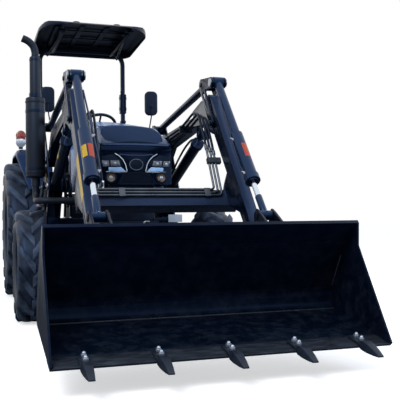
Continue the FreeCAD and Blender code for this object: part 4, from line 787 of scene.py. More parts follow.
def inBucket(x, forward, up):
    # metres ahead of the cutting edge and above the bucket's floor
    lean = math.radians(bucketLook["lean"])
    ahead, above = forward + bucketLook["back"], up - bucketLook["up"]
    return Vector((x, bucketPivot.y - ahead * math.cos(lean) - above * math.sin(lean),
                   bucketPivot.z - ahead * math.sin(lean) + above * math.cos(lean)))


floorUp = (inBucket(0, 0, 0.1) - inBucket(0, 0, 0)).normalized()
floorAhead = (inBucket(0, 0.1, 0) - inBucket(0, 0, 0)).normalized()


def weldBead(start, end, radius, pitch=0.007):
    # a bead laid as overlapping ripples
    bm = bmesh.new()
    way = (end - start).normalized()
    count = max(int((end - start).length / pitch), 2)
    side = way.orthogonal().normalized()
    other = way.cross(side)
    rows = []
    for index in range(count + 1):
        centre = start + (end - start) * (index / count)
        reach = radius * (1.0 if index % 2 else 0.82) * (1 + 0.12 * math.sin(index * 1.7))
        rows.append([bm.verts.new(centre + (side * math.cos(turn) + other * math.sin(turn)) * reach)
                     for turn in (math.tau * step / 6 for step in range(6))])
    return joinRings(bm, rows, 0)


bm = bmesh.new()
half = bucketLook["half"] - 0.012
merge(bm, weldBead(inBucket(-half, -0.590, 0.0015), inBucket(half, -0.590, 0.0015), 0.0045))
merge(bm, weldBead(inBucket(-half, -0.140, 0.0010), inBucket(half, -0.140, 0.0010), 0.0025, 0.012), 1)
addPair(bm, weldBead(inBucket(half - 0.001, -0.560, 0.001), inBucket(half - 0.001, -0.010, 0.001), 0.0045),
        1)
addPair(bm, weldBead(inBucket(half - 0.001, -0.632, 0.130), inBucket(half - 0.001, -0.550, 0.330), 0.0045))
finishPiece("bucketWelds", bm, [paleWeld, bucketEnamel], "bucket")

toothLook = {"width": 0.052, "bolts": (-0.088, -0.038)}
bm = bmesh.new()
for index in range(bucketLook["teeth"]):
    x = (index - (bucketLook["teeth"] - 1) / 2) * bucketLook["pitch"]
    wide = toothLook["width"] / 2
    shank = roundedBlock((0.058, 0.115, 0.012), 0.003)
    tilt = floorAhead.to_track_quat("-Y", "Z").to_matrix().to_4x4()
    merge(bm, shank, 0, Matrix.Translation(inBucket(x, -0.055, 0.006)) @ tilt)
    tooth = bmesh.new()
    rows = []
    for ahead, widthShare, low, highUp in ((-0.020, 1.12, -0.001, 0.016), (0.006, 1.12, -0.016, 0.028),
                                           (0.050, 1.0, -0.017, 0.026), (0.110, 0.80, -0.012, 0.014),
                                           (0.150, 0.60, -0.006, 0.003)):
        rows.append([tooth.verts.new(inBucket(x + sign * wide * widthShare * taper, ahead, up)) for sign,
                     up, taper in ((-1, low, 1.0), (1, low, 1.0), (1, highUp, 0.82), (-1, highUp, 0.82))])
    joinRings(tooth, rows)
    roundEdges(tooth, tooth.edges[:], 0.003)
    merge(bm, tooth)
    for ahead in toothLook["bolts"]:
        foot = inBucket(x, ahead, 0.010)
        merge(bm, roundBar(foot, foot + floorUp * 0.004, 0.017, 24, 0.001))
        merge(bm, roundBar(foot + floorUp * 0.003, foot + floorUp * 0.018, 0.0145, 6, 0.002), 1)
        merge(bm, dome(foot + floorUp * 0.017, floorUp, 0.0105, 0.013, 20), 1)
finishPiece("boltedTeeth", bm, [toothSteel, boltZinc], "bucket", ("bucket_teeth",))
print("bucket is finished")

# ---- loader: decals, glands, fittings, hoses and pins


def smoothPath(points, steps=8):
    # a rounded path through the points
    path = []
    for index in range(len(points) - 1):
        p0, p1, p2 = points[max(index - 1, 0)], points[index], points[index + 1]
        p3 = points[min(index + 2, len(points) - 1)]
        for step in range(steps):
            t = step / steps
            path.append(0.5 * (2 * p1 + (p2 - p0) * t + (2 * p0 - 5 * p1 + 4 * p2 - p3) * t * t
                               + (3 * p1 - p0 - 3 * p2 + p3) * t ** 3))
    return path + [points[-1]]


def tubeAlong(points, radius, sides=12, steps=8):
    bm = bmesh.new()
    path = smoothPath(points, steps)
    rows = []
    side = (path[1] - path[0]).orthogonal().normalized()
    for index, point in enumerate(path):
        way = (path[min(index + 1, len(path) - 1)] - path[max(index - 1, 0)]).normalized()
        side = (side - way * side.dot(way)).normalized()
        other = way.cross(side)
        rows.append([bm.verts.new(point + (side * math.cos(turn) + other * math.sin(turn)) * radius)
                     for turn in (math.tau * step / sides for step in range(sides))])
    return joinRings(bm, rows, -1)


def wrapPatch(start, way, radius, length, facing, halfAngle, thick=0.0006, skew=0.0):
    # part of a sleeve round a bar: from start along way, centred on a direction
    bm = bmesh.new()
    side = (facing - way * facing.dot(way)).normalized()
    other = way.cross(side)
    steps = 24
    grid = []
    for reach in (radius + 0.0002, radius + thick):
        for along in (0.0, length):
            row = []
            for index in range(steps + 1):
                turn = halfAngle * (2 * index / steps - 1)
                row.append(bm.verts.new(start + way * (along + skew * index / steps)
                                        + (side * math.cos(turn) + other * math.sin(turn)) * reach))
            grid.append(row)
    inner0, inner1, outer0, outer1 = grid
    for index in range(steps):
        for first, second in ((outer0, outer1), (inner1, inner0), (inner0, outer0), (outer1, inner1)):
            bm.faces.new((first[index], first[index + 1], second[index + 1], second[index]))
    bm.faces.new((inner0[0], outer0[0], outer1[0], inner1[0]))
    bm.faces.new((inner0[-1], inner1[-1], outer1[-1], outer0[-1]))
    bmesh.ops.recalc_face_normals(bm, faces=bm.faces)
    return bm


def hexNut(centre, axis, radius, height):
    return roundBar(centre, centre + axis.normalized() * height, radius, 6, 0.001)


armLook = {"x": 0.500, "half": 0.036, "tiltRadius": 0.042, "liftRadius": 0.041}
tiltRadius, liftRadius = armLook["tiltRadius"], armLook["liftRadius"]
tiltFoot = {side: Vector((side * armLook["x"], tiltPivot.y, tiltPivot.z)) for side in (-1, 1)}
liftFoot = {side: Vector((side * armLook["x"], liftBase.y, liftBase.z)) for side in (-1, 1)}
bm = bmesh.new()
tiltRight, tiltLeft = tiltFoot[-1], tiltFoot[1]
merge(bm, wrapPatch(tiltRight + tiltAxis * 0.705, tiltAxis, tiltRadius, 0.100, Vector((-0.85, -1, 0.3)),
                    0.42))
merge(bm, wrapPatch(tiltRight + tiltAxis * 0.698, tiltAxis, tiltRadius, 0.112, Vector((0.35, -1, 0.3)),
                    0.42), 1)
merge(bm, wrapPatch(tiltLeft + tiltAxis * 0.665, tiltAxis, tiltRadius, 0.120, Vector((0.25, -1, 0.3)),
                    0.50), 1)
finishPiece("barrelDecals", bm, [yellowTape, redTape], "tilt_barrels")

# rods: ground chrome where the seal runs, then a painted end and its eye
rodLook = {"tilt": {"foot": tiltFoot, "axis": tiltAxis, "eye": (-3.660, 0.790), "tail": 0.679,
                    "radius": 0.0168, "neck": 0.155, "neckRadius": 0.0215, "eyeRadius": 0.0298,
                    "eyeHalf": 0.0395}, "lift": {"foot": liftFoot, "axis": liftAxis, "eye": (-2.500, 1.400),
                                                 "tail": 0.120, "radius": 0.0178, "neck": 0.045,
                                                 "neckRadius": 0.0220, "eyeRadius": 0.0278,
                                                 "eyeHalf": 0.0205}}
for kind, look in rodLook.items():
    bm = bmesh.new()
    for side in (-1, 1):
        foot, eye = look["foot"][side], spot(side * armLook["x"], *look["eye"])
        way = (eye - foot).normalized()
        merge(bm, roundBar(foot + way * look["tail"], eye - way * look["neck"], look["radius"], 40))
        merge(bm, roundBar(eye - way * look["neck"], eye - way * 0.010, look["neckRadius"], 32, 0.003), 1)
        half, rim = look["eyeHalf"], look["eyeRadius"]
        merge(bm, turned([(-half, 0.0205), (-half, rim - 0.002), (0.002 - half, rim), (half - 0.002, rim),
                          (half, rim - 0.002), (half, 0.0205)], 40, across, eye), 1)
        nipple = eye + Vector((0, -0.6, 0.8)).normalized() * (rim - 0.001)
        merge(bm, roundBar(nipple, nipple + Vector((0, -0.006, 0.008)), 0.004, 12, 0.001), 2)
    finishPiece(kind + "RodEnds", bm, [hardChrome, barrelEnamel, zincSteel], kind + "_rods",
                (kind + "_rods",))

bm = bmesh.new()
liftRight = liftFoot[-1]
merge(bm, wrapPatch(liftRight + liftAxis * 0.560, liftAxis, liftRadius, 0.060, Vector((-1, -0.4, 0.2)),
                    0.5))
for side in (-1, 1):
    port = liftFoot[side] + liftAxis * 0.790 + Vector((0, 0, 0.040))
    merge(bm, roundBar(port, port + Vector((0, -0.010, 0.028)), 0.013, 16, 0.001), 1)
    low = liftFoot[side] + liftAxis * 0.110 + Vector((0, 0, 0.040))
    merge(bm, roundBar(low, low + Vector((0, -0.004, 0.026)), 0.013, 16, 0.001), 1)
    merge(bm, turned([(0.802, 0.0), (0.802, 0.0475), (0.806, 0.049), (0.844, 0.049), (0.8485, 0.047),
                      (0.8485, 0.0)], 40, liftAxis, liftFoot[side], False), 2)
# a hose bows along each barrel from its head to its foot
for side in (-1, 1):
    foot = liftFoot[side]
    off = Vector((0, liftAxis.z, -liftAxis.y)).normalized()
    off = off if off.z > 0 else -off
    bow = [foot + liftAxis * along + off * out + Vector((-side * 0.012, 0, 0)) for along,
           out in ((0.792, 0.060), (0.700, 0.088), (0.520, 0.102), (0.300, 0.090), (0.150, 0.066),
                   (0.112, 0.058))]
    merge(bm, tubeAlong(bow, 0.0085, 12, 8), 3)
# a long yellow band up the side and a square one where the barrel is gripped
merge(bm, wrapPatch(liftRight + liftAxis * 0.300, liftAxis, liftRadius, 0.250, Vector((-1, -0.2, 0.5)),
                    0.10))
finishPiece("liftBarrelFittings", bm, [yellowTape, zincSteel, loaderEnamel, hoseRubber], "lift_barrels")

bm = bmesh.new()
for side in (-1, 1):
    foot = tiltFoot[side]
    for along, way in ((0.620, Vector((-side, 0.25, 0.5))), (0.925, Vector((-side, 0.25, 0.5)))):
        port = foot + tiltAxis * along + way.normalized() * 0.040
        merge(bm, hexNut(port, way, 0.013, 0.014))
        merge(bm, roundBar(port, port + way.normalized() * 0.026, 0.008, 16, 0.001))
    hardLine = [foot + tiltAxis * 0.925 + Vector((-side * 0.052, 0.016, 0.030)),
                foot + tiltAxis * 0.840 + Vector((-side * 0.056, 0.016, 0.030)),
                foot + tiltAxis * 0.400 + Vector((-side * 0.040, 0.016, 0.028)),
                foot + tiltAxis * 0.200 + Vector((-side * 0.030, 0.016, 0.034))]
    merge(bm, tubeAlong(hardLine, 0.006, 10, 6), 1)
    merge(bm, turned([(0.965, 0.0185), (0.965, 0.036), (0.978, 0.034), (0.978, 0.0185)], 40, tiltAxis,
                     foot), 1)
finishPiece("tiltBarrelFittings", bm, [zincSteel, loaderEnamel], "tilt_barrels")

# yellow warning stripe on the right arm and bolted caps on the boom's pins
bm = bmesh.new()
stripe = [(-3.118, 1.170), (-3.232, 1.033), (-3.345, 0.896)]
outer = -(armLook["x"] + armLook["half"])
merge(bm, ribbon([Vector((outer, rearAxle.y + y, z)) for y, z in stripe], 0.078, 0.0008,
                 Vector((-1, 0, 0))))
for side in (-1, 1):
    foot = spot(side * (armLook["x"] + armLook["half"]), -2.500, 1.400)
    merge(bm, roundBar(foot + Vector((side * 0.008, 0, 0)), foot + Vector((side * 0.013, 0, 0)), 0.030, 28,
                       0.002), 1)
    merge(bm, hexNut(foot + Vector((side * 0.012, 0, 0)), Vector((side, 0, 0)), 0.012, 0.008), 2)
finishPiece("armMarks", bm, [yellowTape, loaderEnamel, zincSteel], "boom")

bm = bmesh.new()
for y, z in ((-1.420, 1.280), (-1.580, 1.055), (-1.200, 1.590)):
    for side in (-1, 1):
        foot = Vector((side * 0.566, rearAxle.y + y, z))
        merge(bm, roundBar(foot - Vector((side * 0.009, 0, 0)), foot + Vector((side * 0.003, 0, 0)), 0.032,
                           28, 0.002))
        merge(bm, hexNut(foot + Vector((side * 0.002, 0, 0)), Vector((side, 0, 0)), 0.013, 0.009), 1)
finishPiece("mastPinCaps", bm, [zincSteel], "chassis")

# quick couplers with coloured caps on the right mast, their hoses and a reflector strip
couplerLook = {"face": -0.5665, "y": (-1.395, -1.350, -1.305, -1.260), "z": 0.900, "radius": 0.013,
               "hose": 0.0085}
mastFace, level, hoseRadius, plugRadius = (couplerLook[key] for key in ("face", "z", "hose", "radius"))
bm = bmesh.new()
plate = spot(mastFace - 0.004, -1.328, level)
merge(bm, roundedBlock((0.007, 0.200, 0.090), 0.002), 0, plate)
for index, (y, paint) in enumerate(zip(couplerLook["y"], (5, 6, 6, 4))):
    foot = spot(mastFace - 0.008, y, level)
    outwards = Vector((-1, -0.35, 0.10)).normalized()
    merge(bm, hexNut(foot, outwards, 0.017, 0.018), 1)
    merge(bm, roundBar(foot + outwards * 0.016, foot + outwards * 0.036, plugRadius, 24, 0.002), 1)
    merge(bm, roundBar(foot + outwards * 0.034, foot + outwards * 0.054, plugRadius + 0.004, 24, 0.003),
          paint)
    run = [spot(mastFace - 0.012, y, level - 0.044), spot(mastFace - 0.024, y, level - 0.075),
           spot(mastFace - 0.020, y - 0.010, level - 0.130),
           spot(mastFace - 0.010, y + 0.020, level - 0.210)]
    merge(bm, tubeAlong(run, hoseRadius, 12, 6), 2)
    rise = [spot(mastFace - 0.012, y, level + 0.040), spot(mastFace - 0.022, y, level + 0.070),
            spot(mastFace - 0.016, y - 0.010 + 0.004 * index, 1.020),
            spot(mastFace - 0.0105, y - 0.012, 1.100)]
    merge(bm, tubeAlong(rise, hoseRadius, 12, 6), 2)
    merge(bm, hexNut(rise[0] - Vector((0, 0, 0.012)), upwards, 0.012, 0.020), 1)
clampBar = spot(mastFace - 0.010, -1.330, 1.055)
merge(bm, roundedBlock((0.024, 0.190, 0.022), 0.003), 0, clampBar)
for y in (-1.410, -1.250):
    merge(bm, hexNut(spot(mastFace - 0.021, y, 1.055), Vector((-1, 0, 0)), 0.008, 0.007), 1)
for z, paint in ((1.190, 3), (1.130, 7)):
    merge(bm, roundedBlock((0.013, 0.003, 0.058), 0.001), paint, spot(-0.5585, -1.4418, z))
finishPiece("mastCouplers", bm, [frameEnamel, zincSteel, hoseRubber, orangeTape, blueCap, paleTape, redTape,
                                 yellowTape], "chassis")

# fittings where the hoses meet the pipes, and the second set of hoses inside the right arm
lineLook = {"x": 0.426, "pitch": 0.023, "radius": 0.009}
bm = bmesh.new()
for index in range(3):
    x = -0.418 + index * lineLook["pitch"]
    start = spot(x, -3.050 - 0.016 * index, 0.990 - 0.014 * index)
    rise = [start, start + Vector((0, 0.020, 0.070)), spot(x, -2.930, 1.200), spot(x, -2.830, 1.400),
            spot(x + 0.004, -2.700, 1.500 + 0.012 * index), spot(x + 0.004, -2.560, 1.480 + 0.012 * index),
            spot(x, -2.300, 1.450 + 0.012 * index)]
    merge(bm, tubeAlong(rise, lineLook["radius"], 12, 8))
    merge(bm, roundBar(start, start + Vector((0, 0.012, 0.045)), 0.0125, 16, 0.001), 1)
    merge(bm, hexNut(start + Vector((0, 0.012, 0.045)), Vector((0, 0.2, 1)), 0.0145, 0.014), 1)
for y, z, turnedBy in ((-2.905, 1.250, -25), (-2.400, 1.470, 80)):
    merge(bm, roundedBlock((0.080, 0.020, 0.030), 0.003), 2,
          Matrix.Translation(spot(-0.424, y, z)) @ Matrix.Rotation(math.radians(turnedBy), 4, "X"))
finishPiece("rightArmHoses", bm, [hoseRubber, zincSteel, frameEnamel], "boom")
print("loader details are made")

# ---- loader valve with its hoses, tow hook and side plate

valveLook = {"x": -0.392, "y": -1.395, "z": 1.085, "size": (0.070, 0.110, 0.150), "hoseRadius": 0.0095,
             "foot": 0.800}
valveX, valveY, footZ, hoseRadius = (valveLook[key] for key in ("x", "y", "foot", "hoseRadius"))
bm = bmesh.new()
block = spot(valveX, valveY, valveLook["z"])
merge(bm, roundedBlock(valveLook["size"], 0.004), 0, block)
merge(bm, roundedBlock((0.030, 0.060, 0.110), 0.003), 0, block + Vector((-0.040, 0.010, 0)))
for index in range(4):
    column, row = index % 2, index // 2
    port = block + Vector((-0.018 + 0.036 * column, -0.055, -0.040 + 0.070 * row))
    merge(bm, hexNut(port, forwards, 0.014, 0.016), 1)
    reach = -0.075 - 0.022 * row
    drop = [port + forwards * 0.014, port + forwards * 0.050 + Vector((0, 0, 0.004)),
            spot(port.x + 0.010 * row, valveY - 0.055 + reach, port.z - 0.060),
            spot(port.x + 0.012 * column, valveY - 0.055 + reach + 0.010, 0.930),
            spot(port.x + 0.014 * column, valveY - 0.110 + 0.020 * row, footZ)]
    merge(bm, tubeAlong(drop, hoseRadius, 12, 8), 2)
    merge(bm, hexNut(drop[-1] - Vector((0, 0, 0.004)), Vector((0, 0, -1)), 0.0135, 0.018), 1)
    rise = [block + Vector((-0.018 + 0.036 * column, -0.020 + 0.034 * row, 0.075)),
            block + Vector((-0.018 + 0.036 * column, -0.024 + 0.034 * row, 0.120)),
            block + Vector((-0.014 + 0.030 * column, -0.060 + 0.034 * row, 0.190)),
            block + Vector((-0.022 + 0.026 * column, -0.040 + 0.030 * row, 0.290))]
    merge(bm, tubeAlong(rise, hoseRadius, 12, 8), 2)
    merge(bm, hexNut(rise[0], upwards, 0.0135, 0.018), 1)
merge(bm, roundedBlock((0.090, 0.140, 0.016), 0.003), 0, spot(valveX - 0.004, valveY - 0.060,
                                                              footZ - 0.020))
merge(bm, roundedBlock((0.070, 0.090, 0.018), 0.003), 0, block + Vector((-0.010, -0.028, 0.290)))
finishPiece("loaderValve", bm, [frameEnamel, zincSteel, hoseRubber], "chassis")

hookLook = {"x": 0.062, "y": -2.405, "z": 0.712, "reach": 0.040, "radius": 0.007}
bm = bmesh.new()
x, y, z = (hookLook[key] for key in "xyz")
hook = [spot(x, y + 0.010, z - 0.020), spot(x, y, z), spot(x, y, z + 0.030),
        spot(x + 0.010, y, z + 0.042), spot(x + hookLook["reach"], y, z + 0.042)]
merge(bm, tubeAlong(hook, hookLook["radius"], 14, 6))
merge(bm, roundedBlock((0.050, 0.030, 0.012), 0.003), 1, spot(x, y + 0.012, z - 0.022))
plateLook = {"x": 0.330, "y": -2.310, "z": 0.776, "size": (0.110, 0.008, 0.058), "frameX": 0.170}
merge(bm, roundedBlock(plateLook["size"], 0.002), 2, spot(plateLook["x"], plateLook["y"], plateLook["z"]))
merge(bm, roundedBlock((plateLook["x"] - plateLook["frameX"], 0.020, 0.024), 0.003), 1,
      spot((plateLook["x"] + plateLook["frameX"]) / 2, plateLook["y"] + 0.014, plateLook["z"] - 0.006))
finishPiece("towHook", bm, [zincSteel, frameEnamel, paleTape], "chassis")
print("valve and hook are made")

# ---- seat: two foam pads in vinyl, swelled by cloth pressure and sewn in channels

seatLook = {"voxel": 0.006, "frames": 20, "pressure": 4.0, "swell": 0.012, "groove": 0.007,
            "grooveWidth": 0.007, "seat_cushion": {"edge": 0.034, "rest": Vector((0, 0, -1)),
                                                   "channels": (-0.105, 0.105), "fill": 0.85},
            "seat_backrest": {"edge": 0.030, "rest": Vector((0, 1, 0)), "channels": (-0.095, 0.095),
                              "fill": 0.8}}


def applied(piece):
    # the piece's mesh as its modifiers leave it
    graph = bpy.context.evaluated_depsgraph_get()
    mesh = bpy.data.meshes.new_from_object(piece.evaluated_get(graph))
    piece.modifiers.clear()
    old, piece.data = piece.data, mesh
    bpy.data.meshes.remove(old)
    return piece


def seatPad(nodeName, look):
    low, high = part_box(nodeName)
    centre, swell = (low + high) / 2, seatLook["swell"]
    size = (high - low) - Vector((2 * swell, 2 * swell, 2 * swell))
    bm = roundedBlock(size, look["edge"], 4)
    bm.transform(Matrix.Translation(centre))
    mesh = bpy.data.meshes.new(nodeName + "_pad")
    bm.to_mesh(mesh)
    bm.free()
    pad = bpy.data.objects.new(nodeName + "_pad", mesh)
    bpy.context.scene.collection.objects.link(pad)
    remesh = pad.modifiers.new("remesh", "REMESH")
    remesh.mode = "VOXEL"
    remesh.voxel_size = seatLook["voxel"]
    applied(pad)
    start = [vert.co.copy() for vert in pad.data.vertices]
    base = centre + look["rest"] * (abs(size.dot(look["rest"])) / 2 - 0.010)
    held = pad.vertex_groups.new(name="held")
    held.add([vert.index for vert in pad.data.vertices if (vert.co - base).dot(look["rest"]) > 0], 1.0,
             "REPLACE")
    cloth = pad.modifiers.new("cloth", "CLOTH")
    cloth.settings.use_pressure = True
    cloth.settings.uniform_pressure_force = seatLook["pressure"]
    cloth.settings.effector_weights.gravity = 0
    cloth.settings.vertex_group_mass = "held"
    for frameNumber in range(1, seatLook["frames"] + 1):
        bpy.context.scene.frame_set(frameNumber)
    applied(pad)
    bpy.context.scene.frame_set(1)
    lift = -look["rest"]
    for vert, first in zip(pad.data.vertices, start):
        move = vert.co - first
        if move.length > swell - 0.001:
            move *= (swell - 0.001) / move.length
        place = first + move
        facing = max(0.0, (place - centre).dot(lift) / (abs(size.dot(look["rest"])) / 2))
        for channel in look["channels"]:
            pull = seatLook["groove"] * math.exp(-((place.x - channel) / seatLook["grooveWidth"]) ** 2)
            place -= lift * (pull * min(1.0, facing * 1.5))
        vert.co = place
    smooth = pad.modifiers.new("smooth", "SUBSURF")
    smooth.levels = smooth.render_levels = 1
    applied(pad)
    pad.data.materials.clear()
    pad.data.materials.append(vinyl)
    pad.data.shade_smooth()
    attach(pad, "chassis")
    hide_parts(nodeName)


for nodeName in ("seat_cushion", "seat_backrest"):
    seatPad(nodeName, seatLook[nodeName])
print("seat is padded")

# ---- roll bar: slim folding hoop

barLook = {"x": 0.452, "y": 0.195, "width": 0.044, "depth": 0.056, "foot": 0.755, "top": 2.637,
           "corner": 0.130, "fold": 2.030}
barX, barY, barFoot = (barLook[key] for key in ("x", "y", "foot"))


def hoopSection(path, width, depth):
    # rounded rectangular tube along a path that lies across the machine
    bm = bmesh.new()
    rows = []
    for index, point in enumerate(path):
        way = (path[min(index + 1, len(path) - 1)] - path[max(index - 1, 0)]).normalized()
        side = way.cross(Vector((0, 1, 0))).normalized()
        row = []
        for step in range(16):
            turn = math.tau * (step + 0.5) / 16
            c, s = math.cos(turn), math.sin(turn)
            grow = 1 / max(abs(c) ** 6 + abs(s) ** 6, 1e-6) ** (1 / 6)
            row.append(bm.verts.new(point + side * (c * grow * width / 2)
                                    + Vector((0, s * grow * depth / 2, 0))))
        rows.append(row)
    return joinRings(bm, rows)


bm = bmesh.new()
top = barLook["top"] - barLook["width"] / 2
path = [spot(-barX, barY, barFoot)]
for side, turns in ((-1, range(0, 10)), (1, range(9, -1, -1))):
    for index in turns:
        bend = math.pi / 2 * index / 9
        reach = barLook["corner"]
        path.append(spot(side * (barX - reach + reach * math.cos(bend)), barY,
                         top - reach + reach * math.sin(bend)))
path.append(spot(barX, barY, barFoot))
merge(bm, hoopSection(path, barLook["width"], barLook["depth"]))
foldAt = spot(barX, barY, barLook["fold"])
for step in (-1, 1):
    addPair(bm, roundedBlock((0.008, 0.074, 0.200), 0.003), 0, foldAt + Vector((step * 0.028, 0, 0.030)))
addPair(bm, roundedBlock((0.064, 0.082, 0.012), 0.003), 0, foldAt + Vector((0, 0, -0.078)))
for height, radius in ((0.090, 0.017), (-0.030, 0.017)):
    centre = foldAt + Vector((0, 0, height))
    addPair(bm, roundBar(centre - Vector((0.040, 0, 0)), centre + Vector((0.040, 0, 0)), 0.011, 20, 0.001),
            1)
    addPair(bm, roundBar(centre - Vector((0.042, 0, 0)), centre - Vector((0.032, 0, 0)), radius, 20, 0.002),
            1)
    addPair(bm, hexNut(centre + Vector((0.032, 0, 0)), Vector((1, 0, 0)), radius, 0.011), 1)
knob = foldAt + Vector((-0.020, -0.034, 0.150))
addPair(bm, roundBar(knob, knob + Vector((0, -0.030, 0)), 0.016, 20, 0.003), 2)
addPair(bm, roundedBlock((0.056, 0.072, 0.030), 0.004), 0, foldAt + Vector((0, 0, -0.180)))
addPair(bm, roundedBlock((0.090, 0.150, 0.014), 0.004), 0, spot(barX, barY - 0.020, barFoot + 0.007))
for x in (-0.028, 0.028):
    for y in (-0.075, 0.030):
        addPair(bm, hexNut(spot(barX + x, barY + y, barFoot + 0.013), upwards, 0.013, 0.010), 1)
addPair(bm, roundedBlock((0.050, 0.180, 0.100), 0.006), 0, spot(barX, 0.100, barFoot + 0.050))
finishPiece("rollBarHoop", bm, [frameEnamel, zincSteel, trimPlastic], "chassis",
            ("roll_bar",))

# ---- canopy: pressed ribs under the roof, struts and fixing caps

roofLook = {"ribs": (-0.360, -0.120, 0.120, 0.360), "frontY": -0.690, "rearY": 0.210, "z": 2.662}
bm = bmesh.new()
for x in roofLook["ribs"]:
    drop = 0.020 * (abs(x) / 0.36) ** 2
    merge(bm, roundedBlock((0.050, roofLook["rearY"] - roofLook["frontY"], 0.016), 0.006, 3), 0,
          spot(x, (roofLook["rearY"] + roofLook["frontY"]) / 2, roofLook["z"] - drop))
for y in (-0.500, -0.200, 0.120):
    merge(bm, roundedBlock((0.780, 0.040, 0.012), 0.005, 3), 0, spot(0, y, roofLook["z"] - 0.008))
for x in (-0.318, 0.318):
    side = 1 if x > 0 else -1
    merge(bm, tubeAlong([spot(x, -0.640, 2.600), spot(x, -0.500, 2.585),
                         spot(x + side * 0.060, 0.150, 2.540)], 0.011, 12, 4), 1)
    merge(bm, roundedBlock((0.052, 0.060, 0.040), 0.006), 1, spot(x, -0.645, 2.608))
    for y in (-0.660, -0.520):
        merge(bm, roundBar(spot(x, y, 2.630), spot(x, y, 2.650), 0.018, 24, 0.002), 2)
for x in (-0.190, 0.205):
    merge(bm, roundBar(spot(x, -0.720, 2.664), spot(x, -0.720, 2.6845), 0.036, 28, 0.006))
finishPiece("canopyRibs", bm, [canopyPlastic, frameEnamel, zincSteel], "chassis")
print("roll bar and canopy are made")

# ---- fenders: pressed sheet with rounded shoulders and a rolled rim

fenderLook = {"top": 1.482, "inner": 0.400, "outer": 0.740, "wall": 0.008, "front": (-0.620, 1.070),
              "rear": (0.640, 1.130), "flat": 0.350, "skirt": 0.770, "taper": 0.105}


def filletPath(points, radii, steps=7):
    # straight runs with a rounded bend at each inner point, in the plane of the points
    path = [points[0]]
    for before, corner, after, radius in zip(points, points[1:], points[2:], radii):
        into, out = (corner - before).normalized(), (after - corner).normalized()
        half = into.angle(out) / 2
        reach = radius * math.tan(half)
        start = corner - into * reach
        middleWay = (out - into).normalized()
        centre = corner + middleWay * (radius / math.cos(half))
        first = start - centre
        spinAxis = into.cross(out).normalized()
        for step in range(steps + 1):
            path.append(centre + Matrix.Rotation(2 * half * step / steps, 3, spinAxis) @ first)
    return path + [points[-1]]


def footShare(point):
    # 0 over the wheel, 1 at the sheet's front foot
    low = max(0.0, fenderLook["top"] - 0.040 - point.z) / 0.372 if point.y < rearAxle.y else 0.0
    return min(low, 1.0)


def fenderNarrowing(x, point):
    # the sheet draws in towards its front foot
    inner, outer = fenderLook["inner"], fenderLook["outer"]
    return fenderLook["taper"] * footShare(point) * (x - inner) / (outer - inner)


def rolledIn(point, drop):
    # the outer edge rolls in towards the wheel, less near the foot, where the tread is close
    return (spot(0, 0, 0.900) - point).normalized() * drop * (1 - 0.55 * footShare(point))


outlineYz = [fenderLook["front"], (-fenderLook["flat"], fenderLook["top"]),
             (fenderLook["flat"], fenderLook["top"]), fenderLook["rear"]]
crest = filletPath([spot(0, y, z) for y, z in outlineYz], [0.180, 0.180])
bm = bmesh.new()
rows = []
for point in crest:
    row = []
    for x, drop in ((fenderLook["inner"], 0.0), (0.660, 0.0), (0.700, 0.003), (0.724, 0.013),
                    (0.736, 0.030), (fenderLook["outer"] - 0.001, 0.052)):
        row.append(bm.verts.new(Vector((x - fenderNarrowing(x, point), 0,
                                        0)) + point + rolledIn(point, drop)))
    rows.append(row)
for first, second in zip(rows, rows[1:]):
    for index in range(len(first) - 1):
        bm.faces.new((first[index], second[index], second[index + 1], first[index + 1]))
bmesh.ops.recalc_face_normals(bm, faces=bm.faces)
if bm.faces[0].normal.z < 0:
    bmesh.ops.reverse_faces(bm, faces=bm.faces)
bmesh.ops.solidify(bm, geom=bm.faces[:], thickness=fenderLook["wall"])
skin = bmesh.new()
merge(skin, bm)
side = [Vector((fenderLook["inner"], 0, 0)) + point for point in crest]
side += [spot(fenderLook["inner"], fenderLook["rear"][0] - 0.060, fenderLook["skirt"]),
         spot(fenderLook["inner"], fenderLook["front"][0] + 0.060, fenderLook["skirt"])]
merge(skin, prism(side, Vector((fenderLook["wall"], 0, 0)), 0.0))
rim = [Vector((fenderLook["outer"] - 0.006 - fenderNarrowing(fenderLook["outer"], point), 0,
               0)) + point + rolledIn(point, 0.052) for point in crest]
merge(skin, tubeAlong(rim, 0.006, 8, 1))
bm = bmesh.new()
addPair(bm, skin)
finishPiece("roundedFenders", bm, [fenderPaintedSkyEnamel], "chassis", ("fenders",))
print("fenders are made")

# ---- silencer and tail pipe

stackLook = {"x": -0.646, "y": -1.453, "radius": 0.080, "low": 1.130, "high": 1.810, "riser": 0.046,
             "tip": 0.031}
riser, tip = stackLook["riser"], stackLook["tip"]
stackFoot = spot(stackLook["x"], stackLook["y"], 0)
bm = bmesh.new()
can = stackLook["radius"]
merge(bm, turned([(1.060, 0.0004), (1.060, 0.036), (1.128, 0.036), (1.132, can - 0.012),
                  (1.140, can - 0.002), (1.152, can), (1.790, can), (1.800, can - 0.002),
                  (1.807, can - 0.012), (1.809, 0.0004)], 56, upwards, stackFoot, False))
for z in (1.175, 1.770):
    merge(bm, turned([(z - 0.010, can), (z - 0.006, can + 0.0035), (z + 0.006, can + 0.0035),
                      (z + 0.010, can)], 56, upwards, stackFoot))
seam = stackFoot + Vector((0.060, 0.056, 0))
merge(bm, roundedBlock((0.006, 0.006, 0.580), 0.002), 0, seam + Vector((0, 0, 1.470)))
for z in (1.205, 1.690):
    clamp = stackFoot + Vector((0, 0, z))
    merge(bm, turned([(-0.011, can + 0.0005), (-0.011, can + 0.003), (0.011, can + 0.003),
                      (0.011, can + 0.0005)], 56, upwards, clamp), 1)
    merge(bm, roundedBlock((0.030, 0.026, 0.022), 0.002), 1, clamp + Vector((can * 0.72, can * 0.72, 0)))
merge(bm, roundedBlock((0.090, 0.080, 0.030), 0.004), 0, stackFoot + Vector((0.045, 0, 1.205)))
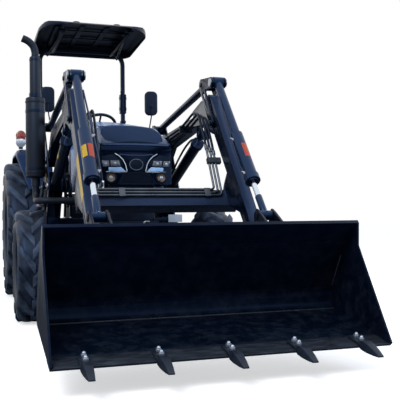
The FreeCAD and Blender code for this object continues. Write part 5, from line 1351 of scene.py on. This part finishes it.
finishPiece("silencerCan", bm, [stackEnamel, frameEnamel], "chassis", ("muffler",))

bm = bmesh.new()
merge(bm, turned([(1.809, riser), (2.140, riser), (2.152, riser - 0.003), (2.160, tip + 0.001),
                  (2.160, 0.0004), (1.809, 0.0004)], 48, upwards, stackFoot, False))
merge(bm, turned([(1.812, riser), (1.812, riser + 0.005), (1.842, riser + 0.005), (1.842, riser)], 48,
                 upwards, stackFoot), 1)
merge(bm, turned([(2.118, riser), (2.118, riser + 0.002), (2.138, riser + 0.002), (2.138, riser)], 48,
                 upwards, stackFoot), 1)
bend = [stackFoot + Vector(step) for step in ((0, 0, 2.156), (0, 0, 2.195), (-0.016, 0, 2.246),
                                              (-0.056, 0, 2.286), (-0.105, 0, 2.308))]
tail = tubeAlong(bend, tip, 28, 8)
caps = [face for face in tail.faces if len(face.verts) > 10]
bmesh.ops.delete(tail, geom=[caps[-1]], context="FACES_ONLY")
bmesh.ops.recalc_face_normals(tail, faces=tail.faces)
bmesh.ops.solidify(tail, geom=tail.faces[:], thickness=0.003)
merge(bm, tail)
finishPiece("tailPipe", bm, [stackEnamel, frameEnamel], "chassis", ("exhaust_outlet",))
print("silencer is made")

# ---- wheels: nuts, hub caps and valves

wheelLook = {
    "rear": {"nuts": 8, "circle": 0.152, "cap": 0.070, "nut": 0.019, "lip": 0.352},
    "front": {"nuts": 6, "circle": 0.082, "cap": 0.042, "nut": 0.014, "lip": 0.200}}


# outer faces of the wheel discs
discPlace = {"rear": rearAxle.x - 0.008, "front": frontAxle.x - 0.003}


def wheelTrim(nodeName, body, outSide, look, discX):
    centre = middle(nodeName)
    axis = Vector((outSide, 0, 0))
    face = Vector((discX, centre.y, centre.z))
    bm = bmesh.new()
    for index in range(look["nuts"]):
        turn = math.tau * (index + 0.5) / look["nuts"]
        foot = face + Vector((0, math.cos(turn), math.sin(turn))) * look["circle"]
        merge(bm, roundBar(foot, foot + axis * 0.004, look["nut"] + 0.005, 24, 0.001))
        merge(bm, hexNut(foot + axis * 0.003, axis, look["nut"], 0.016))
        merge(bm, roundBar(foot + axis * 0.018, foot + axis * 0.030, look["nut"] * 0.55, 16, 0.001))
    cap = look["cap"]
    merge(bm, turned([(0.0, cap + 0.012), (0.010, cap + 0.012), (0.014, cap), (0.050, cap * 0.96),
                      (0.058, cap * 0.82), (0.060, 0.0004), (0.0, 0.0004)], 36, axis, face, False), 1)
    valve = face + Vector((0, 0, look["lip"] * 0.80))
    merge(bm, roundBar(valve, valve + axis * 0.030 + Vector((0, 0, 0.012)), 0.005, 12, 0.001), 2)
    return finishPiece(nodeName + "_trim", bm, [zincSteel, frameEnamel, trimPlastic], body)


for sideName, outSide in (("left", 1), ("right", -1)):
    for axle, discs in (("rear", discPlace["rear"]), ("front", discPlace["front"])):
        wheelTrim(axle + "_rim_" + sideName, axle + "_wheel_" + sideName, outSide, wheelLook[axle],
                  outSide * discs)
print("wheels are trimmed")
